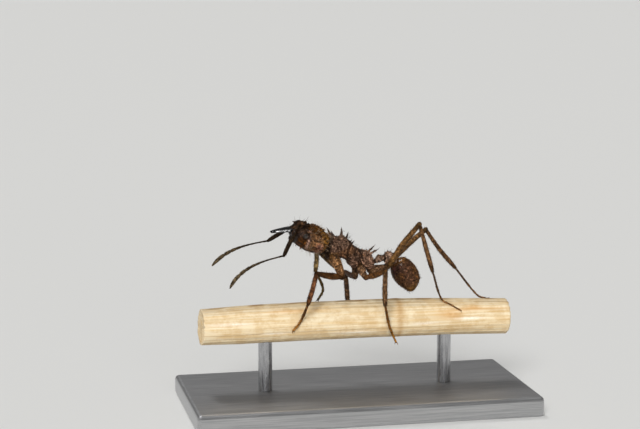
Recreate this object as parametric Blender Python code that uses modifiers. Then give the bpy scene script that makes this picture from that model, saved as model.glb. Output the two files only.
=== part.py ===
"""A leafcutter ant worker of the Acromyrmex kind, life-size, standing on a short cut length of dry stem.

The ant faces -X, its left side is -Y, and the stem lies along X over a flat display base.
Lengths are in millimetres under one empty that scales the model to metres.
"""

import math

import bmesh
import bpy
from mathutils import Matrix, Vector

MM = 0.001
GAP = 0.012  # clearance between neighbouring pieces
SPINE_POINT = 0.12  # a spine's radius at its tip, as a share of its base's

# Stand and perch
BASE_SIZE = (17.2, 8.4, 1.0)
BASE_EDGE = 0.2
ROD_RADIUS = 0.35
ROD_PLACES = {"left": -4.6, "right": 4.6}
PERCH_RADIUS = 0.94
PERCH_HALF_LENGTH = 7.8
PERCH_HEIGHT = 4.35
PERCH_ARCH = 0.065  # how much higher the stem's middle lies than its ends
PERCH_GIRTH = (0.93, 0.985, 1.0, 1.0, 1.0, 1.0, 0.985, 0.96, 0.94)  # share of the radius, along the stem

# Head, in its own frame: forward along the face, up out of the crown
HEAD_FRONT = (-3.2, 8.97)
HEAD_BACK = (-1.45, 8.25)
EYE_RADIUS = 0.185
HEAD_SPINE_RADIUS = 0.1
HEAD_SPINES = [  # base as along, out and up, then how far the tip lies back, out and up from it
    (1.4, 0.55, 0.36, 0.32, 0.12, 0.26),
    (1.66, 0.5, 0.16, 0.32, 0.1, 0.12),
    (1.1, 0.5, 0.42, 0.1, 0.16, 0.28),
    (0.5, 0.64, 0.22, 0.02, 0.24, 0.22),
    (0.5, 0.5, -0.3, 0.0, 0.12, -0.4),
]
MANDIBLE_LENGTH = 1.06
MANDIBLE_THICKNESS = 0.16
MANDIBLE_TAPER = 0.45  # share of the thickness lost at the tip
MANDIBLE_DROOP = (0.05, -0.05, -0.4)  # its height over the face's axis, as a quadratic of the reach
MANDIBLE_TEETH = 7

# Gaster, hanging from the waist
GASTER_TOP = (2.19, 7.41)
GASTER_BOTTOM = (2.9, 5.66)
GASTER_PARTED_AT = 0.72

# Feelers
FEELER_RADIUS = 0.24
FLAGELLUM_LENGTH = 3.2
FLAGELLUM_STEPS = 7
ELBOWS = {"left": (-3.94, -1.3, 7.95), "right": (-4.2, 1.3, 8.32)}
FLAGELLUM_BEND = {"left": (170, -14, -66), "right": (189, -6, -48)}  # heading, first and last climb

# Legs: length and half thickness of each segment, for the three pairs
COXA = {"fore": (1.2, 0.27), "mid": (0.65, 0.27), "hind": (0.98, 0.26)}
FEMUR = {"fore": (1.65, 0.25), "mid": (2.0, 0.25), "hind": (3.0, 0.26)}
TIBIA = {"fore": (1.55, 0.24), "mid": (2.05, 0.24), "hind": (2.62, 0.24)}
TARSUS_RADIUS = 0.23
TARSUS_STEPS = 3  # to the heel, and again to the foot
LIMB_SIDES = 8

# Where each hip sits: forward, outward, up
HIPS = {"fore": (-1.3, 0.36, 7.82), "mid": (0.09, 0.34, 7.16), "hind": (0.68, 0.32, 7.16)}

# The stance: heading and climb of each segment in degrees, then the places of heel and foot by the
# stem as distance along it, degrees round it from the top (left side negative), height off its bark
STANCE = {
    ("fore", "left"): ((-30, -66), (-151, 8), (-163, -74), (-3.0, -71, 0.11), (-3.45, -109, 0.05)),
    ("fore", "right"): ((33, -53), (131, 37), (-103, -48), (-1.48, 28, 0.69), (-1.95, 21, 0.07)),
    ("mid", "left"): ((-52, -53), (-67, 21), (85, -74), (1.54, -97, 0.2), (1.95, -146, 0.42)),
    ("mid", "right"): ((34, -77), (98, -2), (-92, -48), (0.2, 92, 0.16), (0.85, 124, 0.06)),
    ("hind", "left"): ((-50, -8), (-27, 54), (18, -73), (4.36, -28, 0.11), (5.26, -62, 0.05)),
    ("hind", "right"): ((15, -13), (27, 33), (3, -52), (6.33, 22, 0.07), (7.05, 46, 0.05)),
}
SIDES = {"left": -1, "right": 1}


def clear_scene():
    for old in list(bpy.data.objects):
        bpy.data.objects.remove(old, do_unlink=True)


def new_collection(name, hidden=False):
    group = bpy.data.collections.new(name)
    bpy.context.scene.collection.children.link(group)
    group.hide_render = hidden
    return group


def material(name, colour, roughness, metallic=0.0):
    made = bpy.data.materials.new(name)
    made.use_nodes = True
    shader = made.node_tree.nodes["Principled BSDF"]
    shader.inputs["Base Color"].default_value = (*colour, 1)
    shader.inputs["Roughness"].default_value = roughness
    shader.inputs["Metallic"].default_value = metallic
    return made


def add_piece(name, shape, finish, helper=False):
    """An object under the scaling empty. A helper only cuts or joins, so it isn't rendered."""
    made = bpy.data.objects.new(name, shape)
    made.parent = root
    if helper:
        helpers.objects.link(made)
        made.hide_render = True
        made.display_type = "WIRE"
    else:
        pieces.objects.link(made)
    if finish:
        shape.materials.append(finish)
    if isinstance(shape, bpy.types.Mesh):
        shape.shade_smooth()
    return made


def mesh_from(bm, name):
    bmesh.ops.recalc_face_normals(bm, faces=bm.faces)
    if bm.calc_volume(signed=True) < 0:
        bmesh.ops.reverse_faces(bm, faces=bm.faces)
    shape = bpy.data.meshes.new(name)
    bm.to_mesh(shape)
    bm.free()
    return shape


def direction(heading, climb):
    turn = math.radians(heading)
    rise = math.radians(climb)
    return Vector((math.cos(rise) * math.cos(turn), math.cos(rise) * math.sin(turn), math.sin(rise)))


def perch_centre(along):
    lift = PERCH_ARCH * (1 - (along / PERCH_HALF_LENGTH) ** 2)
    return Vector((along, 0, PERCH_HEIGHT + lift))


def beside_perch(along, round_degrees, off):
    """A point by the stem: along it, round it from the top towards the right side, and off its bark."""
    turn = math.radians(round_degrees)
    reach = PERCH_RADIUS + off
    return perch_centre(along) + Vector((0, reach * math.sin(turn), reach * math.cos(turn)))


# Modelling tools


def loft(name, start, end, stations, finish, sides=10):
    """A body along a line in the X-Z plane. A station is (fraction, rise, half height, half width)."""
    tail, tip = Vector((start[0], 0, start[1])), Vector((end[0], 0, end[1]))
    forward = (tip - tail).normalized()
    up = Vector((0, 1, 0)).cross(forward)
    up = up if up.z > 0 else -up
    bm = bmesh.new()
    rings = []
    for fraction, rise, half_height, half_width in stations:
        centre = tail.lerp(tip, fraction) + up * rise
        ring = []
        for k in range(sides):
            turn = math.tau * (k + 0.5) / sides
            ring.append(bm.verts.new(
                centre + up * half_height * math.sin(turn) + Vector((0, half_width * math.cos(turn), 0))))
        rings.append([bm.edges.new((ring[k], ring[(k + 1) % sides])) for k in range(sides)])
    for first, second in zip(rings, rings[1:]):
        bmesh.ops.bridge_loops(bm, edges=first + second)
    bmesh.ops.holes_fill(bm, edges=rings[0] + rings[-1])
    made = add_piece(name, mesh_from(bm, name), finish)
    smooth = made.modifiers.new("smooth", "SUBSURF")
    smooth.levels = smooth.render_levels = 1
    return made


def baked(thing):
    """Replaces an object by the mesh that its curve or modifiers make."""
    graph = bpy.context.evaluated_depsgraph_get()
    shape = bpy.data.meshes.new_from_object(thing.evaluated_get(graph))
    name, owners, hidden = thing.name, list(thing.users_collection), thing.hide_render
    finishes = list(thing.data.materials)
    bpy.data.objects.remove(thing, do_unlink=True)
    shape.materials.clear()
    for finish in finishes:
        shape.materials.append(finish)
    made = bpy.data.objects.new(name, shape)
    made.parent = root
    made.hide_render = hidden
    for owner in owners:
        owner.objects.link(made)
    shape.shade_smooth()
    return made


def tube(name, points, radii, finish, sides=LIMB_SIDES):
    """A curve with a round bevel and filled caps, made a welded mesh."""
    route = bpy.data.curves.new(name, "CURVE")
    route.dimensions = "3D"
    route.bevel_depth = 1.0
    route.bevel_resolution = sides // 2 - 2
    route.use_fill_caps = True
    spline = route.splines.new("POLY")
    spline.points.add(len(points) - 1)
    for slot, point, radius in zip(spline.points, points, radii):
        slot.co = (*point, 1)
        slot.radius = radius
    made = baked(add_piece(name, route, finish))
    bm = bmesh.new()
    bm.from_mesh(made.data)
    bmesh.ops.remove_doubles(bm, verts=bm.verts, dist=0.0001)
    bmesh.ops.recalc_face_normals(bm, faces=bm.faces)
    bm.to_mesh(made.data)
    bm.free()
    return made


def limb(name, points, radii, finish):
    """A tube whose two ends are rounded past its first and last point."""
    dome = [(0.97, 0.24), (0.75, 0.66), (0.4, 0.92)]
    out_start = (points[0] - points[1]).normalized() * radii[0]
    out_end = (points[-1] - points[-2]).normalized() * radii[-1]
    route = [points[0] + out_start * reach for reach, _ in dome]
    widths = [radii[0] * width for _, width in dome]
    route += points
    widths += radii
    route += [points[-1] + out_end * reach for reach, _ in reversed(dome)]
    widths += [radii[-1] * width for _, width in reversed(dome)]
    return tube(name, route, widths, finish)


def part_at(thing, point, normal):
    """A flat cut: keeps what lies behind the plane, less half the clearance, and closes it."""
    bm = bmesh.new()
    bm.from_mesh(thing.data)
    bmesh.ops.bisect_plane(
        bm, geom=bm.verts[:] + bm.edges[:] + bm.faces[:], dist=0.0001,
        plane_co=point - normal * GAP / 2, plane_no=normal, clear_outer=True)
    bmesh.ops.holes_fill(bm, edges=[edge for edge in bm.edges if edge.is_boundary])
    bmesh.ops.recalc_face_normals(bm, faces=bm.faces)
    bm.to_mesh(thing.data)
    bm.free()


def part_joint(near, far, point, before, after):
    """Parts two limb segments on the plane that halves the bend between them."""
    normal = (before + after).normalized()
    part_at(near, point, normal)
    part_at(far, point, -normal)


def smooth_path(points, steps):
    """Points on a Catmull-Rom curve through the given ones."""
    ends = [points[0] * 2 - points[1], *points, points[-1] * 2 - points[-2]]
    path = []
    for a, b, c, d in zip(ends, ends[1:], ends[2:], ends[3:]):
        for k in range(steps):
            t = k / steps
            path.append(0.5 * (2 * b + (c - a) * t + (2 * a - 5 * b + 4 * c - d) * t * t
                               + (3 * b - a - 3 * c + d) * t ** 3))
    return path + [points[-1]]


def boolean(thing, other, operation, solver="EXACT"):
    change = thing.modifiers.new(operation.lower(), "BOOLEAN")
    change.operation = operation
    change.solver = solver
    change.object = other


def join_shapes(thing, shapes):
    """Unites an object with spines, lobes and the like, each given as a bmesh-filling function."""
    for index, fill in enumerate(shapes):
        bm = bmesh.new()
        fill(bm)
        boolean(thing, add_piece(f"{thing.name}_add{index}", mesh_from(bm, thing.name), None, True), "UNION")


def spine(base, tip, radius):
    """A pointed cone from inside the body to its tip."""
    def fill(bm):
        low, high = Vector(base), Vector(tip)
        turn = (high - low).to_track_quat("Z", "Y").to_matrix().to_4x4()
        bmesh.ops.create_cone(
            bm, cap_ends=True, segments=6, radius1=radius, radius2=radius * SPINE_POINT,
            depth=(high - low).length, matrix=Matrix.Translation((low + high) / 2) @ turn)
    return fill


def ball(centre, radii, tilt):
    """An ellipsoid, tipped nose-up by tilt degrees."""
    def fill(bm):
        turn = Matrix.Rotation(math.radians(tilt), 4, "Y")
        bmesh.ops.create_uvsphere(
            bm, u_segments=10, v_segments=6, radius=1,
            matrix=Matrix.Translation(centre) @ turn @ Matrix.Diagonal((*radii, 1)))
    return fill


def spine_pairs(rows):
    """Both spines of each pair, from rows of base, tip and radius for the right side."""
    return [spine((b[0], b[1] * side, b[2]), (t[0], t[1] * side, t[2]), radius)
            for b, t, radius in rows for side in SIDES.values()]


def fit_against(thing, *neighbours):
    """Trims a piece back from its neighbours' surfaces, with the clearance between them."""
    for neighbour in neighbours:
        swollen = neighbour.copy()
        swollen.name = f"{neighbour.name}_clear_of_{thing.name}"
        for owner in list(swollen.users_collection):
            owner.objects.unlink(swollen)
        helpers.objects.link(swollen)
        swollen.hide_render = True
        swollen.display_type = "WIRE"
        grow = swollen.modifiers.new("clearance", "DISPLACE")
        grow.mid_level = 0
        grow.strength = GAP
        boolean(thing, swollen, "DIFFERENCE", "MANIFOLD")


# The ant


def head_point(along, out, up):
    """A point in the head's frame: back from the mouth, out to the side, up from the middle."""
    front, back = Vector((HEAD_FRONT[0], 0, HEAD_FRONT[1])), Vector((HEAD_BACK[0], 0, HEAD_BACK[1]))
    axis = (back - front).normalized()
    crown = Vector((-axis.z, 0, axis.x))
    return front + axis * along + crown * up + Vector((0, out, 0))


def build_head():
    stations = [
        (0.0, 0.0, 0.26, 0.36), (0.05, 0.0, 0.42, 0.64), (0.2, 0.01, 0.6, 0.85), (0.42, 0.01, 0.69, 0.98),
        (0.64, 0.0, 0.7, 1.02), (0.83, -0.02, 0.6, 0.9), (0.96, -0.04, 0.36, 0.56), (1.0, -0.04, 0.2, 0.3),
    ]
    head = loft("head", HEAD_FRONT, HEAD_BACK, stations, cuticle)
    tilt = math.degrees(math.atan2(HEAD_FRONT[1] - HEAD_BACK[1], HEAD_BACK[0] - HEAD_FRONT[0]))
    shapes = []
    for side in SIDES.values():
        shapes.append(ball(head_point(1.42, 0.5 * side, 0.12), (0.44, 0.42, 0.46), tilt))
        shapes.append(ball(head_point(0.42, 0.3 * side, 0.46), (0.3, 0.14, 0.2), tilt))
        for along, out, up, back, spread, rise in HEAD_SPINES:
            base = head_point(along, out * side, up)
            tip = head_point(along + back, (out + spread) * side, up + rise)
            shapes.append(spine(base, tip, HEAD_SPINE_RADIUS))
    join_shapes(head, shapes)
    for name, side in SIDES.items():
        bm = bmesh.new()
        ball(head_point(0.5, 0.8 * side, 0.08), (EYE_RADIUS, EYE_RADIUS, EYE_RADIUS), tilt)(bm)
        fit_against(head, add_piece(f"eye_{name}", mesh_from(bm, "eye"), glossy_black))
    return head


def build_mandible(name, side, head):
    """A drooping blade with a saw of teeth on its inner edge, hinged under the cheek."""
    hinge, elbow, tip = Vector((0, 0.52)), Vector((0.7, 0.62)), Vector((MANDIBLE_LENGTH, 0.05))
    heel = Vector((0.4, 0.08))
    outer = [hinge.lerp(elbow, t).lerp(elbow.lerp(tip, t), t) for t in (0, 0.2, 0.4, 0.6, 0.8, 1)]
    inner = []
    for k in range(MANDIBLE_TEETH):
        notch = tip.lerp(heel, (k + 0.55) / MANDIBLE_TEETH)
        inner += [notch + Vector((0.02, 0.08)), tip.lerp(heel, (k + 1) / MANDIBLE_TEETH)]
    outline = outer + inner + [Vector((0.3, 0.16)), Vector((-0.15, 0.2)), Vector((-0.15, 0.52))]
    level, slope, curl = MANDIBLE_DROOP
    bm = bmesh.new()
    rims = []
    for face_side in (-0.5, 0.5):
        rims.append([])
        for p in outline:
            thickness = MANDIBLE_THICKNESS * (1 - MANDIBLE_TAPER * max(p.x, 0) / MANDIBLE_LENGTH)
            height = level + slope * p.x + curl * p.x ** 2 + face_side * thickness
            rims[-1].append(bm.verts.new(head_point(-p.x, p.y * side, height)))
        bm.faces.new(rims[-1])
    bmesh.ops.bridge_loops(bm, edges=bm.edges[:])
    bmesh.ops.triangulate(bm, faces=bm.faces[:])
    blade = add_piece(f"mandible_{name}", mesh_from(bm, "mandible"), glossy_black)
    fit_against(blade, head)
    return blade


def build_feeler(name, side, head, mandible):
    elbow = Vector(ELBOWS[name])
    heading, first_climb, last_climb = FLAGELLUM_BEND[name]
    socket = head_point(0.28, 0.3 * side, 0.38)
    bow = (socket + elbow) / 2 + Vector((0.05, 0.05 * side, 0.08))
    scape = limb(f"antenna_scape_{name}", [socket, bow, elbow], [FEELER_RADIUS] * 3, cuticle)
    route = [elbow]
    for k in range(FLAGELLUM_STEPS):
        bend = ((k + 0.5) / FLAGELLUM_STEPS) ** 2
        climb = first_climb + (last_climb - first_climb) * bend
        route.append(route[-1] + direction(heading, climb) * FLAGELLUM_LENGTH / FLAGELLUM_STEPS)
    flagellum = limb(f"antenna_flagellum_{name}", route, [FEELER_RADIUS] * len(route), cuticle)
    part_joint(scape, flagellum, elbow, (elbow - bow).normalized(), (route[1] - elbow).normalized())
    fit_against(scape, head, mandible)


def build_trunk(head):
    pronotum = loft("pronotum", (-1.52, 8.1), (-0.72, 8.03), [
        (0.0, 0.0, 0.2, 0.22), (0.18, 0.0, 0.34, 0.42), (0.5, 0.0, 0.5, 0.62), (0.85, -0.01, 0.5, 0.62),
        (1.0, 0.0, 0.38, 0.48)], cuticle)
    join_shapes(pronotum, spine_pairs([
        ((-1.12, 0.3, 8.3), (-1.37, 0.5, 9.0), 0.15), ((-1.05, 0.45, 7.85), (-1.22, 0.72, 7.55), 0.12)]))
    mesothorax = loft("mesothorax", (-0.95, 8.03), (0.26, 7.5), [
        (0.0, 0.02, 0.36, 0.44), (0.15, 0.03, 0.48, 0.6), (0.42, 0.04, 0.47, 0.6), (0.66, -0.08, 0.48, 0.56),
        (0.88, -0.09, 0.51, 0.5), (1.0, -0.06, 0.4, 0.4)], cuticle)
    join_shapes(mesothorax, spine_pairs([
        ((-0.6, 0.26, 8.2), (-0.56, 0.8, 8.98), 0.17), ((-0.36, 0.14, 8.05), (-0.13, 0.22, 8.45), 0.12)]))
    propodeum = loft("propodeum", (0.08, 7.56), (0.98, 7.26), [
        (0.0, 0.0, 0.42, 0.4), (0.16, 0.0, 0.46, 0.46), (0.44, 0.0, 0.44, 0.45), (0.7, -0.01, 0.38, 0.38),
        (0.9, -0.03, 0.25, 0.26), (1.0, -0.04, 0.16, 0.17)], cuticle)
    join_shapes(propodeum, spine_pairs([
        ((0.66, 0.2, 7.6), (1.11, 0.48, 8.08), 0.13), ((0.42, 0.12, 7.75), (0.32, 0.15, 8.04), 0.08)]))
    fit_against(pronotum, head)
    fit_against(mesothorax, pronotum)
    fit_against(propodeum, mesothorax)
    return pronotum, mesothorax, propodeum


def build_waist_and_gaster(propodeum):
    petiole = loft("petiole", (0.92, 7.28), (1.52, 7.38), [
        (0.0, 0.0, 0.13, 0.14), (0.2, 0.01, 0.17, 0.2), (0.46, 0.05, 0.24, 0.27), (0.7, 0.03, 0.2, 0.24),
        (1.0, 0.0, 0.14, 0.16)], cuticle, sides=8)
    join_shapes(petiole, spine_pairs([((1.18, 0.06, 7.5), (1.19, 0.16, 7.7), 0.07)]))
    postpetiole = loft("postpetiole", (1.46, 7.38), (2.12, 7.34), [
        (0.0, 0.0, 0.14, 0.16), (0.2, 0.03, 0.28, 0.32), (0.48, 0.06, 0.36, 0.43), (0.76, 0.02, 0.33, 0.4),
        (1.0, -0.02, 0.2, 0.26)], cuticle, sides=8)
    join_shapes(postpetiole, spine_pairs([((1.72, 0.14, 7.62), (1.7, 0.22, 7.84), 0.08)]))
    stations = [
        (0.0, 0.0, 0.22, 0.24), (0.06, 0.0, 0.44, 0.44), (0.2, -0.01, 0.66, 0.67), (0.42, 0.0, 0.76, 0.76),
        (0.64, 0.0, 0.74, 0.73), (0.82, 0.0, 0.55, 0.54), (0.95, 0.0, 0.26, 0.26), (1.0, 0.0, 0.1, 0.1)]
    shell = loft("gaster", GASTER_TOP, GASTER_BOTTOM, stations, cuticle, sides=12)
    fit_against(shell, postpetiole)
    gaster = baked(shell)
    tip = gaster.copy()
    tip.data = gaster.data.copy()
    tip.name = "gaster_tip"
    pieces.objects.link(tip)
    high, low = Vector((GASTER_TOP[0], 0, GASTER_TOP[1])), Vector((GASTER_BOTTOM[0], 0, GASTER_BOTTOM[1]))
    along = (low - high).normalized()
    part_at(gaster, high.lerp(low, GASTER_PARTED_AT), along)
    part_at(tip, high.lerp(low, GASTER_PARTED_AT), -along)
    fit_against(petiole, propodeum)
    fit_against(postpetiole, petiole)


def build_leg(pair, side_name, carriers, perch):
    side = SIDES[side_name]
    turns = [direction(*angles) for angles in STANCE[pair, side_name][:3]]
    heel, foot = [beside_perch(*place) for place in STANCE[pair, side_name][3:]]
    hip = Vector(HIPS[pair])
    joints = [Vector((hip.x, hip.y * side, hip.z))]
    for turn, (length, _) in zip(turns, (COXA[pair], FEMUR[pair], TIBIA[pair])):
        joints.append(joints[-1] + turn * length)
    name = f"leg_{pair}_{side_name}"
    segments = []
    for k, (part, sizes) in enumerate((("coxa", COXA), ("femur", FEMUR), ("tibia", TIBIA))):
        radius = sizes[pair][1]
        segments.append(limb(f"{name}_{part}", [joints[k], joints[k + 1]], [radius, radius], cuticle))
    route = smooth_path([joints[3], heel, foot], TARSUS_STEPS)
    segments.append(limb(f"{name}_tarsus", route, [TARSUS_RADIUS] * len(route), leg_amber))
    turns.append((route[1] - route[0]).normalized())
    for k in range(3):
        part_joint(segments[k], segments[k + 1], joints[k + 1], turns[k], turns[k + 1])
    fit_against(segments[0], *carriers)
    fit_against(segments[3], perch)


def build_legs(head, pronotum, mesothorax, propodeum, perch):
    carriers = {"fore": (pronotum, head), "mid": (mesothorax, propodeum), "hind": (propodeum, mesothorax)}
    for pair, side_name in STANCE:
        build_leg(pair, side_name, carriers[pair], perch)


# Perch and stand


def build_perch():
    steps = len(PERCH_GIRTH) - 1
    centres = [perch_centre(PERCH_HALF_LENGTH * (2 * k / steps - 1)) for k in range(steps + 1)]
    return tube("perch_stem", centres, [PERCH_RADIUS * share for share in PERCH_GIRTH], straw, sides=20)


def build_stand(perch):
    bm = bmesh.new()
    bmesh.ops.create_cube(bm, size=1, matrix=Matrix.Translation((0, 0, BASE_SIZE[2] / 2))
                          @ Matrix.Diagonal((*BASE_SIZE, 1)))
    base = add_piece("stand_base", mesh_from(bm, "stand_base"), stand_metal)
    edge = base.modifiers.new("edge", "BEVEL")
    edge.width = BASE_EDGE
    edge.segments = 3
    for name, along in ROD_PLACES.items():
        low, high = BASE_SIZE[2] + GAP, PERCH_HEIGHT
        bm = bmesh.new()
        bmesh.ops.create_cone(bm, cap_ends=True, segments=16, radius1=ROD_RADIUS, radius2=ROD_RADIUS,
                              depth=high - low, matrix=Matrix.Translation((along, 0, (low + high) / 2)))
        rod = add_piece(f"stand_rod_{name}", mesh_from(bm, "stand_rod"), stand_metal)
        fit_against(rod, perch)


clear_scene()
pieces = new_collection("leafcutter_ant")
helpers = new_collection("helpers", hidden=True)
root = bpy.data.objects.new("leafcutter_ant_scale", None)
root.scale = (MM, MM, MM)
pieces.objects.link(root)

cuticle = material("cuticle_brown", (0.075, 0.042, 0.027), 0.55)
glossy_black = material("mandible_black", (0.012, 0.01, 0.01), 0.2)
leg_amber = material("tarsus_amber", (0.22, 0.1, 0.04), 0.5)
straw = material("dry_stem", (0.72, 0.58, 0.38), 0.7)
stand_metal = material("stand_metal", (0.62, 0.62, 0.63), 0.35, 1.0)

stem = build_perch()
ant_head = build_head()
for side_name, sign in SIDES.items():
    build_feeler(side_name, sign, ant_head, build_mandible(side_name, sign, ant_head))
trunk = build_trunk(ant_head)
build_waist_and_gaster(trunk[2])
build_legs(ant_head, *trunk, stem)
build_stand(stem)
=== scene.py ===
import math
import random

import bmesh
import bpy
import numpy as np
from mathutils import Matrix, Vector, kdtree, noise


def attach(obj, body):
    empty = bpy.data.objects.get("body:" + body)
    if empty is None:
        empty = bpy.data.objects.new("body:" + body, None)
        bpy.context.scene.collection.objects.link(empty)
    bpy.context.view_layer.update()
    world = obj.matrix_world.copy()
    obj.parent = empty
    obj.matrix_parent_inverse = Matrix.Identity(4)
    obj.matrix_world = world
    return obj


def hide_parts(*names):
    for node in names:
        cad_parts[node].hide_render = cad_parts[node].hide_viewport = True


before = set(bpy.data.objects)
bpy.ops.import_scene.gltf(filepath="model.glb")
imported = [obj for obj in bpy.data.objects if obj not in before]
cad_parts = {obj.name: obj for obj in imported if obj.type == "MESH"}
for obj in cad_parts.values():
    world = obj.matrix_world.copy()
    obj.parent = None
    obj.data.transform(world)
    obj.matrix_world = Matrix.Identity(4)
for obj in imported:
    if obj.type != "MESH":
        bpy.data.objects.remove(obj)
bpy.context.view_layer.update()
scene = bpy.context.scene
mm = 0.001
sides = {"Left": -1, "Right": 1}
print("frame loaded with", len(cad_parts), "solids")


# Places and sizes that the solids have too, in millimetres
ant = {
    "headFront": (-3.2, 8.97),
    "headBack": (-1.45, 8.25),
    "gasterTop": (2.19, 7.41),
    "gasterBottom": (2.9, 5.66),
    "hips": {"fore": (-1.3, 0.36, 7.82), "mid": (0.09, 0.34, 7.16), "hind": (0.68, 0.32, 7.16)},
    "segments": {"fore": (1.2, 1.65, 1.55), "mid": (0.65, 2.0, 2.05), "hind": (0.98, 3.0, 2.62)},
}
# turn and climb of coxa, femur and tibia, then heel and foot as (along, turn, clearance) on the perch
stance = {
    ("fore", "Left"): ((-30, -66), (-151, 8), (-163, -74), (-2.99, -75, 0.1), (-3.39, -104, 0.05)),
    ("fore", "Right"): ((33, -53), (131, 37), (-103, -48), (-1.5, 28, 0.72), (-1.87, 21, 0.09)),
    ("mid", "Left"): ((-52, -53), (-67, 21), (85, -74), (1.45, -97, 0.2), (1.92, -147, 0.42)),
    ("mid", "Right"): ((34, -77), (98, -2), (-92, -48), (0.2, 92, 0.16), (0.85, 124, 0.06)),
    ("hind", "Left"): ((-50, -8), (-27, 54), (18, -73), (4.36, -28, 0.11), (5.26, -62, 0.05)),
    ("hind", "Right"): ((15, -13), (27, 33), (3, -52), (6.45, 22, 0.15), (7.24, 40, 0.05)),
}
# how far the true joints lie from those of the thicker solid legs, as (x, z) at hip, coxa end, knee and ankle
nudges = {
    ("fore", "Left"): ((0.1, 0.03), (0.05, -0.03), (0.02, 0.13), (-0.01, 0.16)),
    ("fore", "Right"): ((0, 0), (0, 0), (-0.05, -0.18), (-0.1, 0.1)),
    ("mid", "Left"): ((0, 0), (0.02, -0.01), (-0.12, -0.07), (-0.04, 0.09)),
    ("mid", "Right"): ((0, 0), (-0.13, -0.05), (0.08, -0.09), (-0.06, 0.2)),
    ("hind", "Left"): ((0.09, -0.33), (0.09, 0.2), (-0.11, -0.02), (-0.09, 0.07)),
    ("hind", "Right"): ((0.14, -0.3), (0.05, -0.04), (0.22, -0.03), (0.22, -0.03)),
}
# how far the middle of the femur and of the tibia bow, as (x, z)
bows = {
    ("fore", "Left"): ((0.0, -0.03), (0.02, 0.0)), ("fore", "Right"): ((0.0, 0.03), (0.02, 0.0)),
    ("mid", "Left"): ((0.0, -0.06), (-0.02, 0.0)), ("mid", "Right"): ((0.0, -0.03), (0.01, 0.0)),
    ("hind", "Left"): ((-0.05, 0.04), (0.0, -0.01)), ("hind", "Right"): ((-0.04, 0.04), (-0.04, -0.05)),
}
perch = {"radius": 0.94, "halfLength": 7.8, "height": 4.35, "arch": 0.065, "droop": 0.1,
         "girth": (0.93, 0.985, 1.0, 1.0, 1.0, 1.0, 0.985, 0.96, 0.94)}


def heading(turn, climb):
    turn, climb = math.radians(turn), math.radians(climb)
    return Vector((math.cos(climb) * math.cos(turn), math.cos(climb) * math.sin(turn), math.sin(climb)))


def perchCentre(along):
    arch = perch["arch"] * (1 - (along / perch["halfLength"]) ** 2)
    droop = perch["droop"] * max(0.0, (along - 2) / 4.9) ** 1.3
    return Vector((along, 0, perch["height"] + arch - droop))


def besidePerch(along, turn, off):
    reach = perch["radius"] + off
    turn = math.radians(turn)
    return perchCentre(along) + Vector((0, reach * math.sin(turn), reach * math.cos(turn)))


def flatLine(start, end):
    # start, direction, upward normal and length of a line in the animal's middle plane
    start, end = Vector((start[0], 0, start[1])), Vector((end[0], 0, end[1]))
    forward = (end - start).normalized()
    up = Vector((0, 1, 0)).cross(forward)
    return start, forward, up if up.z > 0 else -up, (end - start).length


headStart, headAxis, headCrown, headLength = flatLine(ant["headFront"], ant["headBack"])


def headPoint(along, out, up):
    # back from the mouth, out to the side and up from the middle of the head
    return headStart + headAxis * along + headCrown * up + Vector((0, out, 0))


# Mesh tools


def rgb(red, green, blue):
    return np.array([((value / 255 + 0.055) / 1.055) ** 2.4 for value in (red, green, blue)])


def smoothPath(points, steps):
    points = [Vector(point) for point in points]
    ends = [points[0] * 2 - points[1], *points, points[-1] * 2 - points[-2]]
    path = []
    for a, b, c, d in zip(ends, ends[1:], ends[2:], ends[3:]):
        for k in range(steps):
            t = k / steps
            path.append(0.5 * (2 * b + (c - a) * t + (2 * a - 5 * b + 4 * c - d) * t * t
                               + (3 * b - a - 3 * c + d) * t ** 3))
    return path + [points[-1]]


def easedValues(rows, count, passes=2):
    # values at even fractions, from (fraction, value) rows, with the corners rounded off
    values = np.interp(np.linspace(0, 1, count), *zip(*rows))
    for _ in range(passes):
        values[1:-1] = (values[:-2] + 2 * values[1:-1] + values[2:]) / 4
    return [float(value) for value in values]


def evenPath(points, count):
    # the same line with evenly spaced points
    places = np.array([tuple(point) for point in points])
    run = np.concatenate([[0], np.cumsum(np.linalg.norm(np.diff(places, axis=0), axis=1))])
    spots = np.linspace(0, run[-1], count)
    return [Vector(row) for row in np.stack([np.interp(spots, run, places[:, k]) for k in range(3)], axis=1)]


def placeObject(name, data):
    placed = bpy.data.objects.new(name, data)
    scene.collection.objects.link(placed)
    return placed


def mirrored(point, side):
    return Vector((point[0], point[1] * side, point[2]))


def ringAt(bm, centre, across, rise, turns):
    return [bm.verts.new(centre + across * math.cos(turn) + rise * math.sin(turn)) for turn in turns]


def joinRings(bm, rings):
    # faces between rings that have the same number of points
    for first, second in zip(rings, rings[1:]):
        for j in range(len(first)):
            k = (j + 1) % len(first)
            bm.faces.new((first[j], first[k], second[k], second[j]))


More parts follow.
